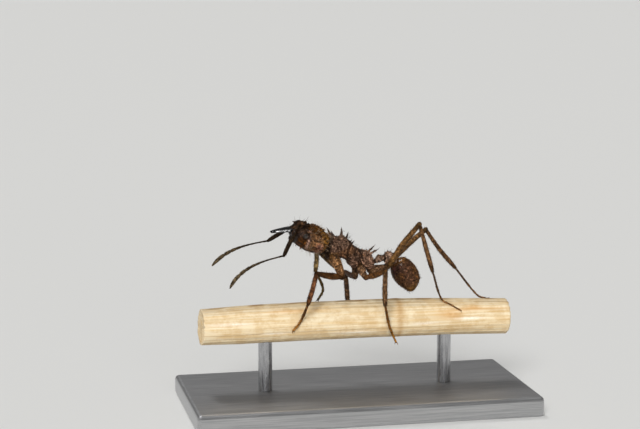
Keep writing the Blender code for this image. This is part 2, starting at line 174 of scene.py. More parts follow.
def sweep(bm, points, radii, ribs=14, domed=True):
    # a closed round skin along a line of points
    points, radii = list(points), list(radii)
    if domed:
        dome = ((0.97, 0.24), (0.8, 0.6), (0.45, 0.89))
        backward = (points[0] - points[1]).normalized() * radii[0]
        onward = (points[-1] - points[-2]).normalized() * radii[-1]
        points = ([points[0] + backward * reach for reach, _ in dome] + points
                  + [points[-1] + onward * reach for reach, _ in reversed(dome)])
        radii = ([radii[0] * share for _, share in dome] + radii
                 + [radii[-1] * share for _, share in reversed(dome)])
    sideways = (points[1] - points[0]).cross(Vector((0, 0, 1)))
    if sideways.length < 1e-6:
        sideways = Vector((1, 0, 0))
    turns = [math.tau * j / ribs for j in range(ribs)]
    rings = []
    for k, (centre, radius) in enumerate(zip(points, radii)):
        forward = (points[min(k + 1, len(points) - 1)] - points[max(k - 1, 0)]).normalized()
        sideways = (sideways - forward * sideways.dot(forward)).normalized()
        rings.append(ringAt(bm, centre, sideways * radius, sideways.cross(forward) * radius, turns))
    joinRings(bm, rings)
    bm.faces.new(list(reversed(rings[0])))
    bm.faces.new(rings[-1])


def ball(bm, centre, radii, axes=None, segments=20):
    turn = Matrix(axes).transposed().to_4x4() if axes else Matrix.Identity(4)
    bmesh.ops.create_uvsphere(
        bm, u_segments=segments, v_segments=segments // 2, radius=1,
        matrix=Matrix.Translation(centre) @ turn @ Matrix.Diagonal((*radii, 1)))


def spike(bm, base, tip, radius, flare=1.5, bow=(0, 0, 0)):
    # a thorn with a flared foot and a sharp, slightly bowed point
    path = smoothPath([base, (base + tip) / 2 + Vector(bow), tip], 6)
    left = np.linspace(1, 0, 13)
    widths = radius * (0.04 + 0.96 * left ** 0.9 * (1 + (flare - 1) * left ** 6))
    sweep(bm, path, widths, ribs=10, domed=False)


def cage(bm, start, end, stations, ribs=10):
    # a body along a line, smoothed from the same coarse stations as its solid
    origin, forward, up, length = flatLine(start, end)
    coarse = bmesh.new()
    turns = [math.tau * (j + 0.5) / ribs for j in range(ribs)]
    rings = []
    for fraction, lift, halfHeight, halfWidth in stations:
        centre = origin + forward * length * fraction + up * lift
        rings.append(ringAt(coarse, centre, Vector((0, halfWidth, 0)), up * halfHeight, turns))
    joinRings(coarse, rings)
    coarse.faces.new(rings[0])
    coarse.faces.new(rings[-1])

    def addRounding(carrier):
        rounding = carrier.modifiers.new("rounding", "SUBSURF")
        rounding.levels = rounding.render_levels = 3
    shape = evaluated(coarse, addRounding)
    bm.from_mesh(shape)
    bpy.data.meshes.remove(shape)


def evaluated(bm, addModifiers):
    # the mesh that modifiers make of a bmesh
    shape = bpy.data.meshes.new("carrier")
    bmesh.ops.recalc_face_normals(bm, faces=bm.faces)
    bm.to_mesh(shape)
    bm.free()
    carrier = placeObject("carrier", shape)
    addModifiers(carrier)
    made = bpy.data.meshes.new_from_object(carrier.evaluated_get(bpy.context.evaluated_depsgraph_get()))
    bpy.data.objects.remove(carrier)
    bpy.data.meshes.remove(shape)
    return made


def fused(bm, voxel):
    # one skin round overlapping shapes, with soft joints between them
    def addModifiers(carrier):
        merger = carrier.modifiers.new("fusing", "REMESH")
        merger.mode = "VOXEL"
        merger.voxel_size = voxel
        softener = carrier.modifiers.new("relaxing", "SMOOTH")
        softener.factor = 0.5
        softener.iterations = 3
    return evaluated(bm, addModifiers)


def rowOf(vector):
    return np.array(tuple(vector))


def arraysOf(mesh):
    count = len(mesh.vertices)
    places, normals = np.empty(count * 3), np.empty(count * 3)
    mesh.vertices.foreach_get("co", places)
    mesh.vertices.foreach_get("normal", normals)
    return places.reshape(-1, 3), normals.reshape(-1, 3)


def hollows(mesh):
    # how hollow the skin lies at each vertex, closely and widely: above 0 in a crease, below 0 on a ridge
    places, normals = arraysOf(mesh)
    edges = np.empty(len(mesh.edges) * 2, np.int64)
    mesh.edges.foreach_get("vertices", edges)
    edges = edges.reshape(-1, 2)
    tally = np.bincount(edges.ravel(), minlength=len(places))[:, None] + 1e-9

    def neighbourMean(values):
        sums = np.zeros_like(values)
        np.add.at(sums, edges[:, 0], values[edges[:, 1]])
        np.add.at(sums, edges[:, 1], values[edges[:, 0]])
        return sums / tally

    spacing = np.linalg.norm(places[edges[:, 0]] - places[edges[:, 1]], axis=1).mean()
    depth = ((neighbourMean(places) - places) * normals).sum(axis=1, keepdims=True) / spacing
    for _ in range(2):
        depth = neighbourMean(depth)
    wide = depth
    for _ in range(6):
        wide = neighbourMean(wide)
    return depth[:, 0], wide[:, 0]


def ramp(values, low, high):
    share = np.clip((values - low) / (high - low), 0, 1)
    return share * share * (3 - 2 * share)


def laidOver(colour, other, mask):
    return colour + (other - colour) * mask[:, None]


def layered(colour, look, rows):
    # lays the named colours of a look over a colour, each by its own mask
    for name, mask in rows:
        colour = laidOver(colour, look[name], mask)
    return colour


def mottle(places, frequency, seed):
    # soft random blotches, mostly between 0 and 1
    picker = np.random.default_rng(seed)
    ways = picker.normal(0, 1, (16, 3))
    ways *= (frequency * picker.uniform(0.5, 1.5, 16) / np.linalg.norm(ways, axis=1))[:, None]
    waves = np.sin(places @ ways.T * math.tau + picker.uniform(0, math.tau, 16))
    return np.clip(0.5 + waves.mean(axis=1) * 1.5, 0, 1)


def roughen(mesh, rows, seed, shareAt=None):
    # moves the skin in and out by several sizes of noise, rows of (height, frequency)
    places, normals = arraysOf(mesh)
    shift = Vector((seed * 7.3, seed * 3.1, seed * 5.7))
    moved = np.zeros(len(places))
    for height, frequency in rows:
        moved += height * np.array([noise.noise(Vector(place) * frequency + shift) for place in places])
    if shareAt:
        moved *= shareAt(places, normals)
    mesh.vertices.foreach_set("co", (places + normals * moved[:, None]).ravel())
    mesh.update()


def treeOf(places):
    tree = kdtree.KDTree(len(places))
    for index, place in enumerate(places):
        tree.insert(place, index)
    tree.balance()
    return tree


def raisePimples(mesh, count, radius, height, seed, where=None):
    # small round tubercles of several sizes, none of them touching
    places, normals = arraysOf(mesh)
    allowed = np.arange(len(places)) if where is None else np.nonzero(where(places, normals))[0]
    tree = treeOf(places)
    picker = random.Random(seed)
    chosen = []
    raised = places.copy()
    for _ in range(count * 6):
        if len(chosen) == count:
            break
        index = int(allowed[picker.randrange(len(allowed))])
        centre = Vector(places[index])
        if any((centre - place).length < radius * 2.6 for place in chosen):
            continue
        size = picker.uniform(0.7, 1.2)
        chosen.append(centre)
        for _, near, distance in tree.find_range(places[index], radius * size):
            share = (1 - (distance / (radius * size)) ** 2) ** 1.5
            raised[near] += normals[index] * height * size * share
    mesh.vertices.foreach_set("co", raised.ravel())
    mesh.update()


def storeColour(mesh, name, colour):
    layer = mesh.color_attributes.new(name, "FLOAT_COLOR", "POINT")
    layer.data.foreach_set("color", np.column_stack([colour, np.ones(len(colour))]).ravel())


def paint(mesh, colourAt, creases=0.0):
    # stores a colour at each vertex, with painted shade darkening the creases and painted light brightening
    # the ridges
    places, normals = arraysOf(mesh)
    colour = colourAt(places, normals)
    if creases:
        # painted shade in the creases and painted light on the ridges, from how hollow the skin lies
        close, wide = hollows(mesh)
        shade = np.clip(1 - creases * close, 0.25, 1.8) * np.clip(1 - 1.6 * creases * wide, 0.3, 1.5)
        colour = colour * shade[:, None]
    storeColour(mesh, "tint", np.clip(colour, 0, 1))


def polish(mesh, amounts):
    # how shiny the skin is at each vertex
    storeColour(mesh, "polish", np.column_stack([amounts] * 3))


def addPiece(name, mesh, finish, node):
    # puts a mesh made in millimetres on the frame, in place of its solid if it has one
    mesh.transform(Matrix.Scale(mm, 4))
    mesh.name = name
    mesh.materials.append(finish)
    mesh.shade_smooth()
    piece = placeObject(name, mesh)
    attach(piece, "root")
    if node:
        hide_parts(node)


def meshOf(bm):
    bmesh.ops.recalc_face_normals(bm, faces=bm.faces)
    mesh = bpy.data.meshes.new("shape")
    bm.to_mesh(mesh)
    bm.free()
    return mesh


def withSpikes(mesh, spikes):
    # crisp thorns over the soft stubs that fusing leaves
    bm = bmesh.new()
    bm.from_mesh(mesh)
    for base, tip, radius, bow in spikes:
        spike(bm, base, tip, radius, bow=bow)
    bmesh.ops.recalc_face_normals(bm, faces=bm.faces)
    bm.to_mesh(mesh)
    bm.free()


# Shader groups


def newGroup(name, inputs, outputs):
    group = bpy.data.node_groups.new(name, "ShaderNodeTree")
    for label, kind, value in inputs:
        socket = group.interface.new_socket(name=label, in_out="INPUT", socket_type=f"NodeSocket{kind}")
        socket.default_value = value
    for label, kind in outputs:
        group.interface.new_socket(name=label, in_out="OUTPUT", socket_type=f"NodeSocket{kind}")
    return group, group.nodes.new("NodeGroupInput").outputs, group.nodes.new("NodeGroupOutput")


def setInputs(tree, node, values):
    # a plain value goes on the socket, another node's output is linked to it
    for label, value in values.items():
        if isinstance(value, bpy.types.NodeSocket):
            tree.links.new(value, node.inputs[label])
        else:
            node.inputs[label].default_value = value


def addNode(tree, kind, values=None, **settings):
    node = tree.nodes.new(kind)
    for label, value in settings.items():
        setattr(node, label, value)
    setInputs(tree, node, values or {})
    return node


def millimetreSpace(tree):
    # object coordinates counted in millimetres
    place = addNode(tree, "ShaderNodeTexCoord").outputs["Object"]
    return addNode(tree, "ShaderNodeVectorMath", {0: place, "Scale": 1 / mm}, operation="SCALE").outputs[0]


def product(tree, first, second):
    return addNode(tree, "ShaderNodeMath", {0: first, 1: second}, operation="MULTIPLY").outputs[0]


def mixedColour(tree, share, first, second, blend="MIX"):
    return addNode(tree, "ShaderNodeMix", {"Factor": share, 6: first, 7: second},
                   data_type="RGBA", blend_type=blend).outputs[2]


def remapped(tree, value, low, high, toLow=0.0, toHigh=1.0, kind="SMOOTHSTEP"):
    return addNode(tree, "ShaderNodeMapRange", {
        "Value": value, "From Min": low, "From Max": high, "To Min": toLow, "To Max": toHigh},
        interpolation_type=kind).outputs["Result"]


def buildCuticleGroup():
    group, start, end = newGroup("cuticlePattern", [
        ("Tint", "Color", (0.1, 0.06, 0.04, 1)), ("Shadow", "Color", (0.02, 0.01, 0.006, 1)),
        ("Bloom", "Color", (0.3, 0.2, 0.16, 1)), ("Patches", "Float", 4.0), ("Grain", "Float", 16.0),
        ("Patch Strength", "Float", 0.6), ("Bloom Strength", "Float", 0.4),
        ("Low Roughness", "Float", 0.35), ("High Roughness", "Float", 0.7),
    ], [("Color", "Color"), ("Roughness", "Float"), ("Height", "Float")])
    space = millimetreSpace(group)
    patches = addNode(group, "ShaderNodeTexNoise", {
        "Vector": space, "Scale": start["Patches"], "Detail": 5.0, "Roughness": 0.68}).outputs["Fac"]
    grain = addNode(group, "ShaderNodeTexNoise", {
        "Vector": space, "Scale": start["Grain"], "Detail": 3.0, "Roughness": 0.7}).outputs["Fac"]
    cells = addNode(group, "ShaderNodeTexVoronoi", {"Vector": space, "Scale": start["Grain"]}, feature="F1")
    patchShare = product(group, remapped(group, patches, 0.42, 0.6), start["Patch Strength"])
    grainShare = product(group, remapped(group, grain, 0.5, 0.66), start["Bloom Strength"])
    shaded = mixedColour(group, patchShare, start["Tint"], start["Shadow"])
    # the bright grains are a lighter form of the tint with a little dust colour
    brighter = addNode(group, "ShaderNodeVectorMath", {0: start["Tint"], "Scale": 2.7}, operation="SCALE")
    dusted = addNode(group, "ShaderNodeVectorMath", {
        0: start["Bloom"], 1: (0.05, 0.05, 0.05), 2: brighter.outputs[0]}, operation="MULTIPLY_ADD")
    pits = addNode(group, "ShaderNodeMath", {0: cells.outputs["Distance"], 1: 0.6, 2: grain},
                   operation="MULTIPLY_ADD")
    setInputs(group, end, {
        "Color": mixedColour(group, grainShare, shaded, dusted.outputs[0]),
        "Roughness": remapped(group, grain, 0.3, 0.7, start["Low Roughness"], start["High Roughness"],
                              "LINEAR"),
        "Height": pits.outputs[0]})
    return group


def buildStreakGroup():
    # long streaks along the axis that Stretch packs least, for fibres and for brushed metal
    group, start, end = newGroup("streakPattern", [
        ("Stretch", "Vector", (1.0, 12.0, 12.0)), ("Fineness", "Float", 1.0),
        ("Dark", "Color", (0.4, 0.3, 0.2, 1)), ("Light", "Color", (0.8, 0.7, 0.5, 1)),
        ("Low Roughness", "Float", 0.5), ("High Roughness", "Float", 0.8),
    ], [("Color", "Color"), ("Roughness", "Float"), ("Height", "Float")])
    stretched = addNode(group, "ShaderNodeVectorMath", {0: millimetreSpace(group), 1: start["Stretch"]},
                        operation="MULTIPLY")
    streaks = addNode(group, "ShaderNodeTexNoise", {
        "Vector": stretched.outputs[0], "Scale": start["Fineness"], "Detail": 6.0,
        "Roughness": 0.65}).outputs["Fac"]
    setInputs(group, end, {
        "Color": mixedColour(group, remapped(group, streaks, 0.32, 0.68), start["Dark"], start["Light"]),
        "Roughness": remapped(group, streaks, 0.3, 0.7, start["Low Roughness"], start["High Roughness"],
                              "LINEAR"),
        "Height": streaks})
    return group


cuticlePattern = buildCuticleGroup()
streakPattern = buildStreakGroup()


# Materials


def newMaterial(name):
    made = bpy.data.materials.new(name)
    made.use_nodes = True
    return made, made.node_tree, made.node_tree.nodes["Principled BSDF"]


def placeGroup(tree, group, values):
    return addNode(tree, "ShaderNodeGroup", values, node_tree=group)


def dressShader(tree, shader, pattern, bump, plain):
    # colour, roughness and a bump of so many millimetres from the pattern, the rest straight on the shader
    setInputs(tree, shader, {
        "Base Color": pattern.outputs["Color"], "Roughness": pattern.outputs["Roughness"], **plain})
    if bump:
        height = {"Height": pattern.outputs["Height"], "Strength": 1.0, "Distance": bump * mm}
        setInputs(tree, shader, {"Normal": addNode(tree, "ShaderNodeBump", height).outputs["Normal"]})


def opaque(colour):
    return (*[float(value) for value in colour], 1)


def storedColour(tree, name):
    return addNode(tree, "ShaderNodeVertexColor", layer_name=name).outputs["Color"]


def cuticleMaterial(name, look):
    # patches and grain over one tint, or over the tint that is painted on each vertex
    made, tree, shader = newMaterial(name)
    painted = "tint" not in look
    tint = storedColour(tree, "tint") if painted else opaque(look["tint"])
    pattern = placeGroup(tree, cuticlePattern, {
        "Tint": tint, "Shadow": opaque(look["shadow"]), "Bloom": opaque(look["bloom"]),
        "Patches": look["patches"], "Grain": look["grain"],
        "Patch Strength": look["strengths"][0], "Bloom Strength": look["strengths"][1],
        "Low Roughness": look["roughness"][0], "High Roughness": look["roughness"][1]})
    plain = {"Specular IOR Level": look["shine"]}
    if "coat" in look:
        weight, plain["Coat Roughness"] = look["coat"]
        if painted:
            # the coat lies only where the skin is polished
            weight = product(tree, storedColour(tree, "polish"), weight)
        plain["Coat Weight"] = weight
    dressShader(tree, shader, pattern, look.get("bump"), plain)
    return made


# strengths are those of the dark patches and of the bright grains, a coat is its weight and roughness
cuticleLooks = {
    "headCuticle": {"shadow": rgb(18, 9, 4), "bloom": rgb(120, 96, 76), "patches": 7.5, "grain": 9.5,
                    "strengths": (0.84, 0.85), "roughness": (0.45, 0.75), "bump": 0.045, "shine": 0.12,
                    "coat": (0.35, 0.22)},
    "trunkCuticle": {"shadow": rgb(24, 12, 7), "bloom": rgb(210, 196, 184), "patches": 8.0, "grain": 10.5,
                     "strengths": (0.88, 1.0), "roughness": (0.45, 0.8), "bump": 0.065, "shine": 0.09},
    "gasterCuticle": {"shadow": rgb(12, 5, 3), "bloom": rgb(170, 140, 112), "patches": 7.0, "grain": 8.0,
                      "strengths": (0.88, 1.0), "roughness": (0.35, 0.65), "bump": 0.04, "shine": 0.12,
                      "coat": (1.0, 0.22)},
    "legCuticle": {"shadow": rgb(24, 12, 4), "bloom": rgb(130, 110, 80), "patches": 6.5, "grain": 8.0,
                   "strengths": (0.76, 0.7), "roughness": (0.35, 0.65), "bump": 0.026, "shine": 0.1},
    "feelerCuticle": {"shadow": rgb(12, 8, 3), "bloom": rgb(190, 170, 140), "patches": 7.0, "grain": 9.0,
                      "strengths": (0.72, 0.75), "roughness": (0.45, 0.75), "bump": 0.016, "shine": 0.09},
    "tarsusCuticle": {"shadow": rgb(36, 20, 6), "bloom": rgb(206, 166, 100), "patches": 6.0, "grain": 8.0,
                      "strengths": (0.7, 0.55), "roughness": (0.35, 0.6), "bump": 0.014, "shine": 0.12},
    "jawBlack": {"tint": rgb(9, 7, 7), "shadow": rgb(4, 3, 3), "bloom": rgb(36, 24, 18), "patches": 8.0,
                 "grain": 5.0, "strengths": (0.4, 0.1), "roughness": (0.06, 0.14), "bump": 0.003,
                 "shine": 0.32},
    "eyeFacets": {"tint": rgb(64, 58, 54), "shadow": rgb(14, 11, 9), "bloom": rgb(150, 146, 140),
                  "patches": 7.0, "grain": 30.0, "strengths": (0.7, 0.3), "roughness": (0.25, 0.45),
                  "shine": 0.2, "coat": (0.12, 0.12)},
}
hairTones = {
    "paleHair": (rgb(150, 130, 108), rgb(190, 178, 158)),
    "goldHair": (rgb(104, 72, 42), rgb(164, 126, 84)),
    "brownHair": (rgb(48, 32, 17), rgb(120, 92, 60)),
}
for name, (low, high) in hairTones.items():
    cuticleLooks[name] = {"tint": low, "shadow": low * 0.6, "bloom": high, "patches": 3.0, "grain": 7.0,
                          "strengths": (0.4, 0.7), "roughness": (0.35, 0.55), "shine": 0.2}
cuticles = {name: cuticleMaterial(name, look) for name, look in cuticleLooks.items()}
print("materials ready")


# Hairs: each one is a thin bent cone, and a coat is one joined mesh

hairLooks = {
    "head": {"length": (0.12, 0.34), "radius": 0.0055, "stand": 0.62, "bend": 0.25, "stray": 0.35},
    "trunk": {"length": (0.1, 0.3), "radius": 0.0055, "stand": 0.6, "bend": 0.25, "stray": 0.35},
    "gaster": {"length": (0.08, 0.17), "radius": 0.0055, "stand": 0.5, "bend": 0.35, "stray": 0.25},
    "down": {"length": (0.05, 0.1), "radius": 0.0045, "stand": 0.25, "bend": 0.2, "stray": 0.3},
    "leg": {"length": (0.07, 0.16), "radius": 0.0055, "stand": 0.35, "bend": 0.15, "stray": 0.2},
    "foot": {"length": (0.05, 0.1), "radius": 0.005, "stand": 0.35, "bend": 0.1, "stray": 0.2},
    "feeler": {"length": (0.05, 0.11), "radius": 0.004, "stand": 0.35, "bend": 0.1, "stray": 0.2},
    "club": {"length": (0.03, 0.06), "radius": 0.0035, "stand": 0.3, "bend": 0.1, "stray": 0.2},
}


def aroundLine(start, end, strip=0, strips=1):
    # unwraps a shape round its own axis, each shape of a coat in a strip of its own
    start, end = rowOf(start), rowOf(end)
    axis = (end - start) / np.linalg.norm(end - start)
    first = np.cross(axis, (0.0, 1.0, 0.0) if abs(axis[1]) < 0.9 else (1.0, 0.0, 0.0))
    first /= np.linalg.norm(first)
    second = np.cross(axis, first)

    def unwrap(places):
        offset = places - start
        share = np.clip(offset @ axis / np.linalg.norm(end - start), 0, 1) * 0.94 + 0.03
        turn = np.arctan2(offset @ second, offset @ first) / math.tau + 0.5
        return np.column_stack([turn * 0.99 + 0.005, (share + strip) / strips])
    return unwrap


def scatteredRoots(mesh, count, seed, where=None):
    # random places on the skin, spread by area
    mesh.calc_loop_triangles()
    places, normals = arraysOf(mesh)
    corners = np.empty(len(mesh.loop_triangles) * 3, np.int64)
    mesh.loop_triangles.foreach_get("vertices", corners)
    corners = corners.reshape(-1, 3)
    centres, faceNormals = places[corners].mean(axis=1), normals[corners].mean(axis=1)
    if where is not None:
        keep = where(centres, faceNormals)
        corners, centres = corners[keep], centres[keep]
    picker = np.random.default_rng(seed)
    areas = np.linalg.norm(np.cross(places[corners[:, 1]] - places[corners[:, 0]],
                                    places[corners[:, 2]] - places[corners[:, 0]]), axis=1)
    chosen = picker.choice(len(corners), count, p=areas / areas.sum())
    mix = picker.dirichlet((1, 1, 1), count)
    roots = np.einsum("nk,nkd->nd", mix, places[corners[chosen]])
    outward = np.einsum("nk,nkd->nd", mix, normals[corners[chosen]])
    return roots, outward / np.linalg.norm(outward, axis=1, keepdims=True)


def grownHairs(mesh, count, seeds, lie, kind, unwrap, where=None):
    # points, faces and unwrapped places of many hairs
    roots, outward = scatteredRoots(mesh, count, seeds[0], where)
    picker = np.random.default_rng(seeds[1])
    look = hairLooks[kind]
    lie = np.broadcast_to(rowOf(lie), roots.shape) + picker.normal(0, look["stray"], roots.shape)
    lie = lie - outward * (lie * outward).sum(axis=1, keepdims=True)
    lie /= np.linalg.norm(lie, axis=1, keepdims=True) + 1e-9
    across = np.cross(outward, lie)
    length = (picker.uniform(*look["length"], count))[:, None]
    radius = look["radius"] * picker.uniform(0.8, 1.2, count)[:, None]
    stand = np.clip(picker.normal(look["stand"], 0.12, count), 0.05, 1)[:, None]
    start = outward * stand + lie * (1 - stand)
    start /= np.linalg.norm(start, axis=1, keepdims=True)
    points = []
    for level, width in ((0, 1.0), (0.35, 0.85), (0.7, 0.55)):
        centre = roots - outward * radius + start * length * level + lie * length * look["bend"] * level ** 2
        for k in range(3):
            turn = math.tau * k / 3
            points.append(centre + (across * math.cos(turn) + outward * math.sin(turn)) * radius * width)
    points.append(roots + start * length + lie * length * look["bend"])
    points = np.stack(points, axis=1).reshape(-1, 3)
    faces = [(0, 2, 1)]
    for low, high in ((0, 3), (3, 6)):
        faces += [(low + k, low + (k + 1) % 3, high + (k + 1) % 3, high + k) for k in range(3)]
    faces += [(6 + k, 6 + (k + 1) % 3, 9) for k in range(3)]
    patch = 0.003
    spots = np.array([((k % 3) / 2 - 0.5, (k // 3) / 3 - 0.5) for k in range(9)] + [(0, 0.5)]) * patch
    return points, faces, (unwrap(roots)[:, None, :] + spots[None]).reshape(-1, 2)


def addCoat(name, strands, finish):
    points = np.concatenate([one[0] for one in strands])
    spots = np.concatenate([one[2] for one in strands])
    single = strands[0][1]
    count = len(points) // 10
    faces = [tuple(corner + 10 * k for corner in face) for k in range(count) for face in single]
    mesh = bpy.data.meshes.new(name)
    mesh.from_pydata([tuple(row) for row in points], [], faces)
    layer = mesh.uv_layers.new(name="OFBake")
    corners = np.empty(len(mesh.loops), np.int64)
    mesh.loops.foreach_get("vertex_index", corners)
    layer.data.foreach_set("uv", spots[corners].ravel())
    addPiece(name, mesh, cuticles[finish], None)
    print(name, "has", count, "hairs")


# Head

headShape = {
    "stations": [(0.0, 0.0, 0.26, 0.36), (0.05, 0.0, 0.42, 0.64), (0.2, 0.01, 0.6, 0.85),
                 (0.42, 0.01, 0.69, 0.98), (0.64, 0.0, 0.7, 1.02), (0.83, -0.02, 0.6, 0.9),
                 (0.96, -0.04, 0.36, 0.56), (1.0, -0.04, 0.2, 0.3)],
    "voxel": 0.022,
    # round shapes: along, out, up, then radii along, out, up
    "lumps": [(1.42, 0.5, 0.12, 0.42, 0.42, 0.45), (1.12, 0.26, 0.44, 0.34, 0.26, 0.26),
              (0.95, 0.24, 0.44, 0.34, 0.25, 0.25), (1.36, 0.34, 0.31, 0.26, 0.26, 0.25),
              (0.42, 0.3, 0.46, 0.3, 0.12, 0.17), (0.04, 0.22, 0.08, 0.16, 0.3, 0.36),
              (0.0, 0.5, 0.02, 0.16, 0.15, 0.2), (0.12, 0.12, -0.36, 0.18, 0.16, 0.16),
              (0.5, 0.78, 0.08, 0.3, 0.12, 0.28)],
    # the flange over each feeler's socket, running back as a ridge: along, out, up, thickness
    "browRidge": [(-0.02, 0.24, 0.42, 0.05), (0.14, 0.33, 0.54, 0.09), (0.3, 0.38, 0.53, 0.1),
                  (0.5, 0.36, 0.57, 0.09), (0.62, 0.37, 0.53, 0.045), (0.95, 0.42, 0.63, 0.045),
                  (1.25, 0.46, 0.57, 0.04)],
    # ridges over the cheek, as along, up, thickness, laid on its surface
    "cheekRidges": [
        [(0.16, -0.1, 0.03), (0.22, 0.2, 0.04), (0.42, 0.36, 0.045), (0.62, 0.3, 0.045), (0.71, 0.1, 0.055),
         (0.73, -0.15, 0.06), (0.8, -0.42, 0.05)],
        [(0.86, 0.3, 0.025), (1.1, 0.34, 0.03), (1.4, 0.3, 0.025)],
        [(0.92, 0.06, 0.02), (1.2, 0.08, 0.028), (1.55, 0.02, 0.02)],
        [(0.95, -0.2, 0.02), (1.2, -0.22, 0.028), (1.5, -0.24, 0.02)]],
    # thorns: base as along, out and up, then how far the tip lies back, out and up, radius
    "thorns": [(1.38, 0.55, 0.38, 0.26, 0.12, 0.26, 0.07), (1.62, 0.5, 0.22, 0.3, 0.1, 0.16, 0.07),
               (1.12, 0.5, 0.46, 0.08, 0.12, 0.22, 0.06), (1.34, 0.26, 0.56, 0.07, 0.03, 0.15, 0.055),
               (1.5, 0.3, 0.46, 0.1, 0.04, 0.15, 0.055), (1.66, 0.34, 0.34, 0.12, 0.04, 0.12, 0.05),
               (1.78, 0.36, 0.14, 0.12, 0.04, 0.08, 0.045), (0.5, 0.64, 0.3, 0.02, 0.16, 0.16, 0.05),
               (0.56, 0.45, -0.44, -0.02, 0.1, -0.24, 0.06), (0.22, 0.33, 0.56, 0.0, 0.02, 0.1, 0.06),
               (0.0, 0.27, 0.44, -0.15, 0.04, 0.02, 0.05), (0.52, 0.35, 0.62, 0.0, 0.02, 0.1, 0.07),
               (1.0, 0.26, 0.66, 0.04, 0.02, 0.08, 0.045), (1.72, 0.72, 0.0, 0.16, 0.12, 0.04, 0.05),
               (1.45, 0.85, -0.1, 0.08, 0.14, 0.0, 0.045)],
    # how many, and their radius and height
    "pimples": (420, 0.034, 0.026),
    # how many behind the eye and before it, and how much down
    "hairs": (290, 130, 700),
    "colours": {"gena": rgb(97, 68, 44), "cheek": rgb(65, 35, 4), "brow": rgb(14, 6, 3),
                "vertex": rgb(67, 39, 6), "ridge": rgb(160, 126, 110), "rear": rgb(84, 56, 19),
                "neck": rgb(24, 12, 6), "under": rgb(60, 38, 22), "rose": rgb(118, 76, 62),
                "ash": rgb(70, 58, 54), "black": rgb(8, 5, 4)},
}
# socket is the radius of the raised ring round the eye, thickness the ring's own, rim that of the black line
eye = {"along": 0.5, "out": 0.82, "up": 0.08, "radii": (0.145, 0.11, 0.14),
       "socket": 0.19, "thickness": 0.035, "rim": 0.165}
headAxes = (headAxis, Vector((0, 1, 0)), headCrown)


def headOut(along, up):
    # how far out the side of the head lies
    fractions, _, heights, widths = zip(*headShape["stations"])
    height = 0.94 * np.interp(along / headLength, fractions, heights)
    width = 0.94 * np.interp(along / headLength, fractions, widths)
    return float(width * math.sqrt(max(0.05, 1 - (up / height) ** 2)))


def headCoordinates(places):
    offset = places - rowOf(headStart)
    return offset @ rowOf(headAxis), np.abs(places[:, 1]), offset @ rowOf(headCrown)


def fromEye(along, up):
    return np.hypot(along - eye["along"], up - eye["up"])


def headColour(places, normals):
    look = headShape["colours"]
    along, out, up = headCoordinates(places)
    colour = layered(look["gena"], look, [
        ("rose", ramp(along, 1.05, 1.3) * ramp(0.1 - up, 0.0, 0.3) * mottle(places, 1.6, 3)),
        ("under", ramp(-up, 0.42, 0.62)),
        ("vertex", ramp(up, 0.24, 0.42) * ramp(along, 0.3, 0.5)),
        ("rear", ramp(along + 0.5 * up, 1.35, 1.6) * (0.45 + 0.55 * mottle(places, 1.4, 5))),
        ("neck", ramp(along + 0.1 * up, 1.7, 1.82) * 0.9),
        ("cheek", ramp(0.76 - along, 0.0, 0.12) * ramp(0.2 - up, 0.0, 0.2)),
    ]) * (0.7 + 0.6 * mottle(places, 2.6, 7))[:, None]
    # the pale ridge behind the eye leans back towards the chin, and a thin one runs over the eye
    lean = along - 0.7 + np.clip(up, -0.6, 0.1) * 0.22
    behind = np.exp(-(lean / 0.07) ** 2) * ramp(0.22 - up, 0.0, 0.1) * ramp(out, 0.45, 0.6)
    over = np.exp(-((up - 0.42 + 0.1 * along) / 0.035) ** 2) * ramp(along, 0.4, 0.5)
    front = np.maximum(ramp(0.32 + 0.7 * np.clip(up - 0.05, 0, 0.4) - along, 0.0, 0.14),
                       ramp(up, 0.3, 0.4) * ramp(0.66 - along, 0.0, 0.1))
    # a black rim round the eye, widest behind and above it
    reach = fromEye(along, up)
    upward = ramp((along - eye["along"] + up - eye["up"]) / (reach + 1e-6), -0.6, 1.2)
    rim = np.exp(-((reach - eye["rim"]) / (0.03 + 0.05 * upward)) ** 2) * (0.5 + 0.5 * upward)
    return layered(colour, look, [
        ("ridge", behind * (0.75 + 0.25 * mottle(places, 3.0, 13))),
        ("ridge", over * ramp(0.85 - along, 0.0, 0.2) * 0.6),
        ("brow", front * (0.6 + 0.4 * mottle(places, 3.0, 17))),
        ("ash", np.exp(-((along - 0.3) / 0.1) ** 2 - ((up - 0.1) / 0.13) ** 2) * 0.7),
        ("black", rim * ramp(out, 0.4, 0.6)),
    ])


